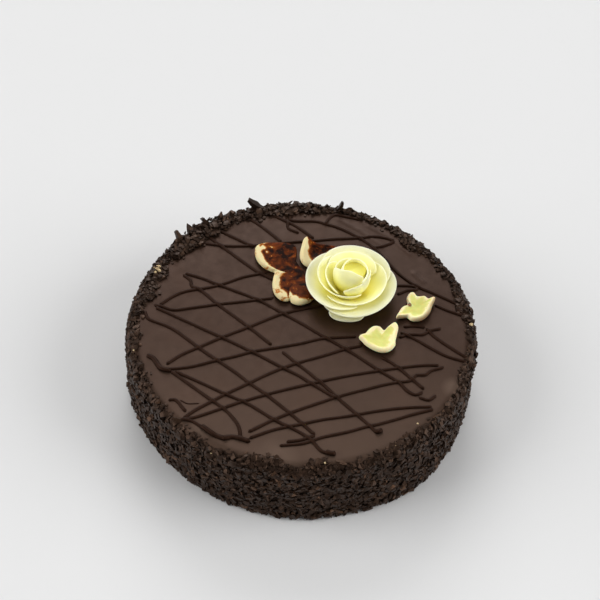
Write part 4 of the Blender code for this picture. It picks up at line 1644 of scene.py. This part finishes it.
@dataclass(frozen=True)
class Leaves:
    """The four leaves: two under a dark film, two almost bare."""

    seat: float
    marbled: LeafFinish = LeafFinish("tinted_cast_white_chocolate", roughness=0.55, ior=1.42)
    # The bare leaves: their own pale green tint, deepened with painted shade towards the cupped
    # middle and paler out to the edge.
    plain: LeafFinish = LeafFinish(
        "cast_white_chocolate", roughness=0.5, cream="ece3b2", edge="e2da96", film="d6d27e",
        pool_and_shade="cccb74", stain="6e4420", shine_through=0.4, cloud_mm=4.0, uneven=0.2,
        pit=(67.0 * MM, 19.8 * MM, TOP_HEIGHT + 3.4 * MM))
    tinted: tuple[Leaf, ...] = (
        Leaf("leaf_left", LEAF_LEFT, (-10.0, 42.0), 2.6,
             worn=((-27.9, 60.8, 1.8), (-25.0, 57.6, 1.4))),
        Leaf("leaf_top", LEAF_TOP, (5.0, 61.0), 2.2),
    )
    bare: tuple[Leaf, ...] = (
        Leaf("leaf_back", LEAF_BACK, (71.0, 18.5), 2.0, edge_mm=1.7, ripple_mm=0.8,
             margin_mm=(1.6, 0.0, 0.0), soft_mm=6.0, stain_side=(0.8, -0.8)),
        Leaf("leaf_front", LEAF_FRONT, (48.5, -8.8), 2.2, edge_mm=1.7, ripple_mm=0.8,
             margin_mm=(1.6, 0.8, 0.8), soft_mm=6.0),
    )

    def build(self) -> None:
        """Make every leaf in the place of its solid."""
        for group, finish, slot in ((self.tinted, self.marbled, Slot.MARBLED),
                                    (self.bare, self.plain, Slot.CREAM)):
            material = finish.make()
            for leaf in group:
                mesh = leaf.mesh(self.seat)
                add_piece(f"{leaf.name}_cast", mesh, material, slot, leaf.name)


@dataclass(frozen=True)
class Lamp:
    """One large soft box, far enough away to light everything evenly (angles in degrees)."""

    name: str
    azimuth: float
    elevation: float
    spread: float
    strength: float

    def build(self) -> None:
        """Hang the lamp and aim it at the cake."""
        light = bpy.data.lights.new(self.name, "SUN")
        light.angle = math.radians(self.spread)
        light.energy = self.strength
        lamp = bpy.data.objects.new(self.name, light)
        turn, rise = math.radians(self.azimuth), math.radians(self.elevation)
        place = Vector((math.cos(turn) * math.cos(rise), math.sin(turn) * math.cos(rise),
                        math.sin(rise)))
        lamp.location = place
        lamp.rotation_euler = (-place).to_track_quat("-Z", "Y").to_euler()
        bpy.context.scene.collection.objects.link(lamp)


@dataclass(frozen=True)
class Studio:
    """A pale floor under soft light from behind and above."""

    floor_span: float = 8.0
    finish: PaperFinish = PaperFinish("studio_paper", roughness=0.9)
    sky: Colour = (1.0, 1.0, 1.0, 1.0)
    sky_strength: float = 0.16
    lamps: tuple[Lamp, ...] = (
        Lamp("back_window", 96.0, 32.0, 34.0, 1.4),
        Lamp("top_box", 60.0, 80.0, 60.0, 0.6),
        Lamp("right_box", -6.0, 26.0, 50.0, 2.4),
        Lamp("left_box", 188.0, 26.0, 50.0, 2.4),
    )

    def build(self) -> None:
        """Lay the floor, light the room and hang the lamps."""
        bm = bmesh.new()
        bmesh.ops.create_grid(bm, x_segments=8, y_segments=8, size=self.floor_span / 2)
        mesh = bpy.data.meshes.new("studio_floor")
        bm.to_mesh(mesh)
        bm.free()
        mesh.materials.append(self.finish.make())
        floor = bpy.data.objects.new("studio_floor", mesh)
        bpy.context.scene.collection.objects.link(floor)
        world = bpy.data.worlds.new("soft_room")
        world.use_nodes = True
        backdrop = world.node_tree.nodes["Background"]
        backdrop.inputs["Color"].default_value = self.sky
        backdrop.inputs["Strength"].default_value = self.sky_strength
        bpy.context.scene.world = world
        for lamp in self.lamps:
            lamp.build()


@dataclass(frozen=True)
class Viewpoint:
    """The camera at the photograph's angle: above the cake's front, a little rolled."""

    elevation_deg: float = 49.10
    roll_deg: float = 3.0
    distance: float = 0.9957
    lens_mm: float = 87.6
    sensor_mm: float = 36.0
    target: tuple[float, float, float] = (-2.33 * MM, 66.8 * MM, 0.0)

    def build(self) -> None:
        """Place the camera and make it the scene's own."""
        tilt, roll = math.radians(self.elevation_deg), math.radians(self.roll_deg)
        forward = Vector((0.0, math.cos(tilt), -math.sin(tilt)))
        above = Vector((0.0, math.sin(tilt), math.cos(tilt)))
        right = Vector((1.0, 0.0, 0.0))
        across = right * math.cos(roll) + above * math.sin(roll)
        upward = above * math.cos(roll) - right * math.sin(roll)
        turn = Matrix((across, upward, -forward)).transposed().to_4x4()
        data = bpy.data.cameras.new("camera")
        data.sensor_width = self.sensor_mm
        data.lens = self.lens_mm
        camera = bpy.data.objects.new("camera", data)
        place = Vector(self.target) - forward * self.distance
        camera.matrix_world = Matrix.Translation(place) @ turn
        bpy.context.scene.collection.objects.link(camera)
        bpy.context.scene.camera = camera


def main() -> None:
    """Build the cake from its body outwards, then the studio round it."""
    logging.basicConfig(level=logging.INFO, format="%(name)s: %(message)s")
    bpy.context.scene.view_settings.view_transform = "Standard"
    Viewpoint().build()
    Studio().build()
    body = GlazedBody()
    body.build()
    PipedLattice(body).build()
    ShavedCoat(body).build()
    Crumbs(body).build()
    Rose(ROSE_AT + UP * (TOP_HEIGHT + GAP)).build()
    Leaves(TOP_HEIGHT).build()


if __name__ == "__main__":
    main()
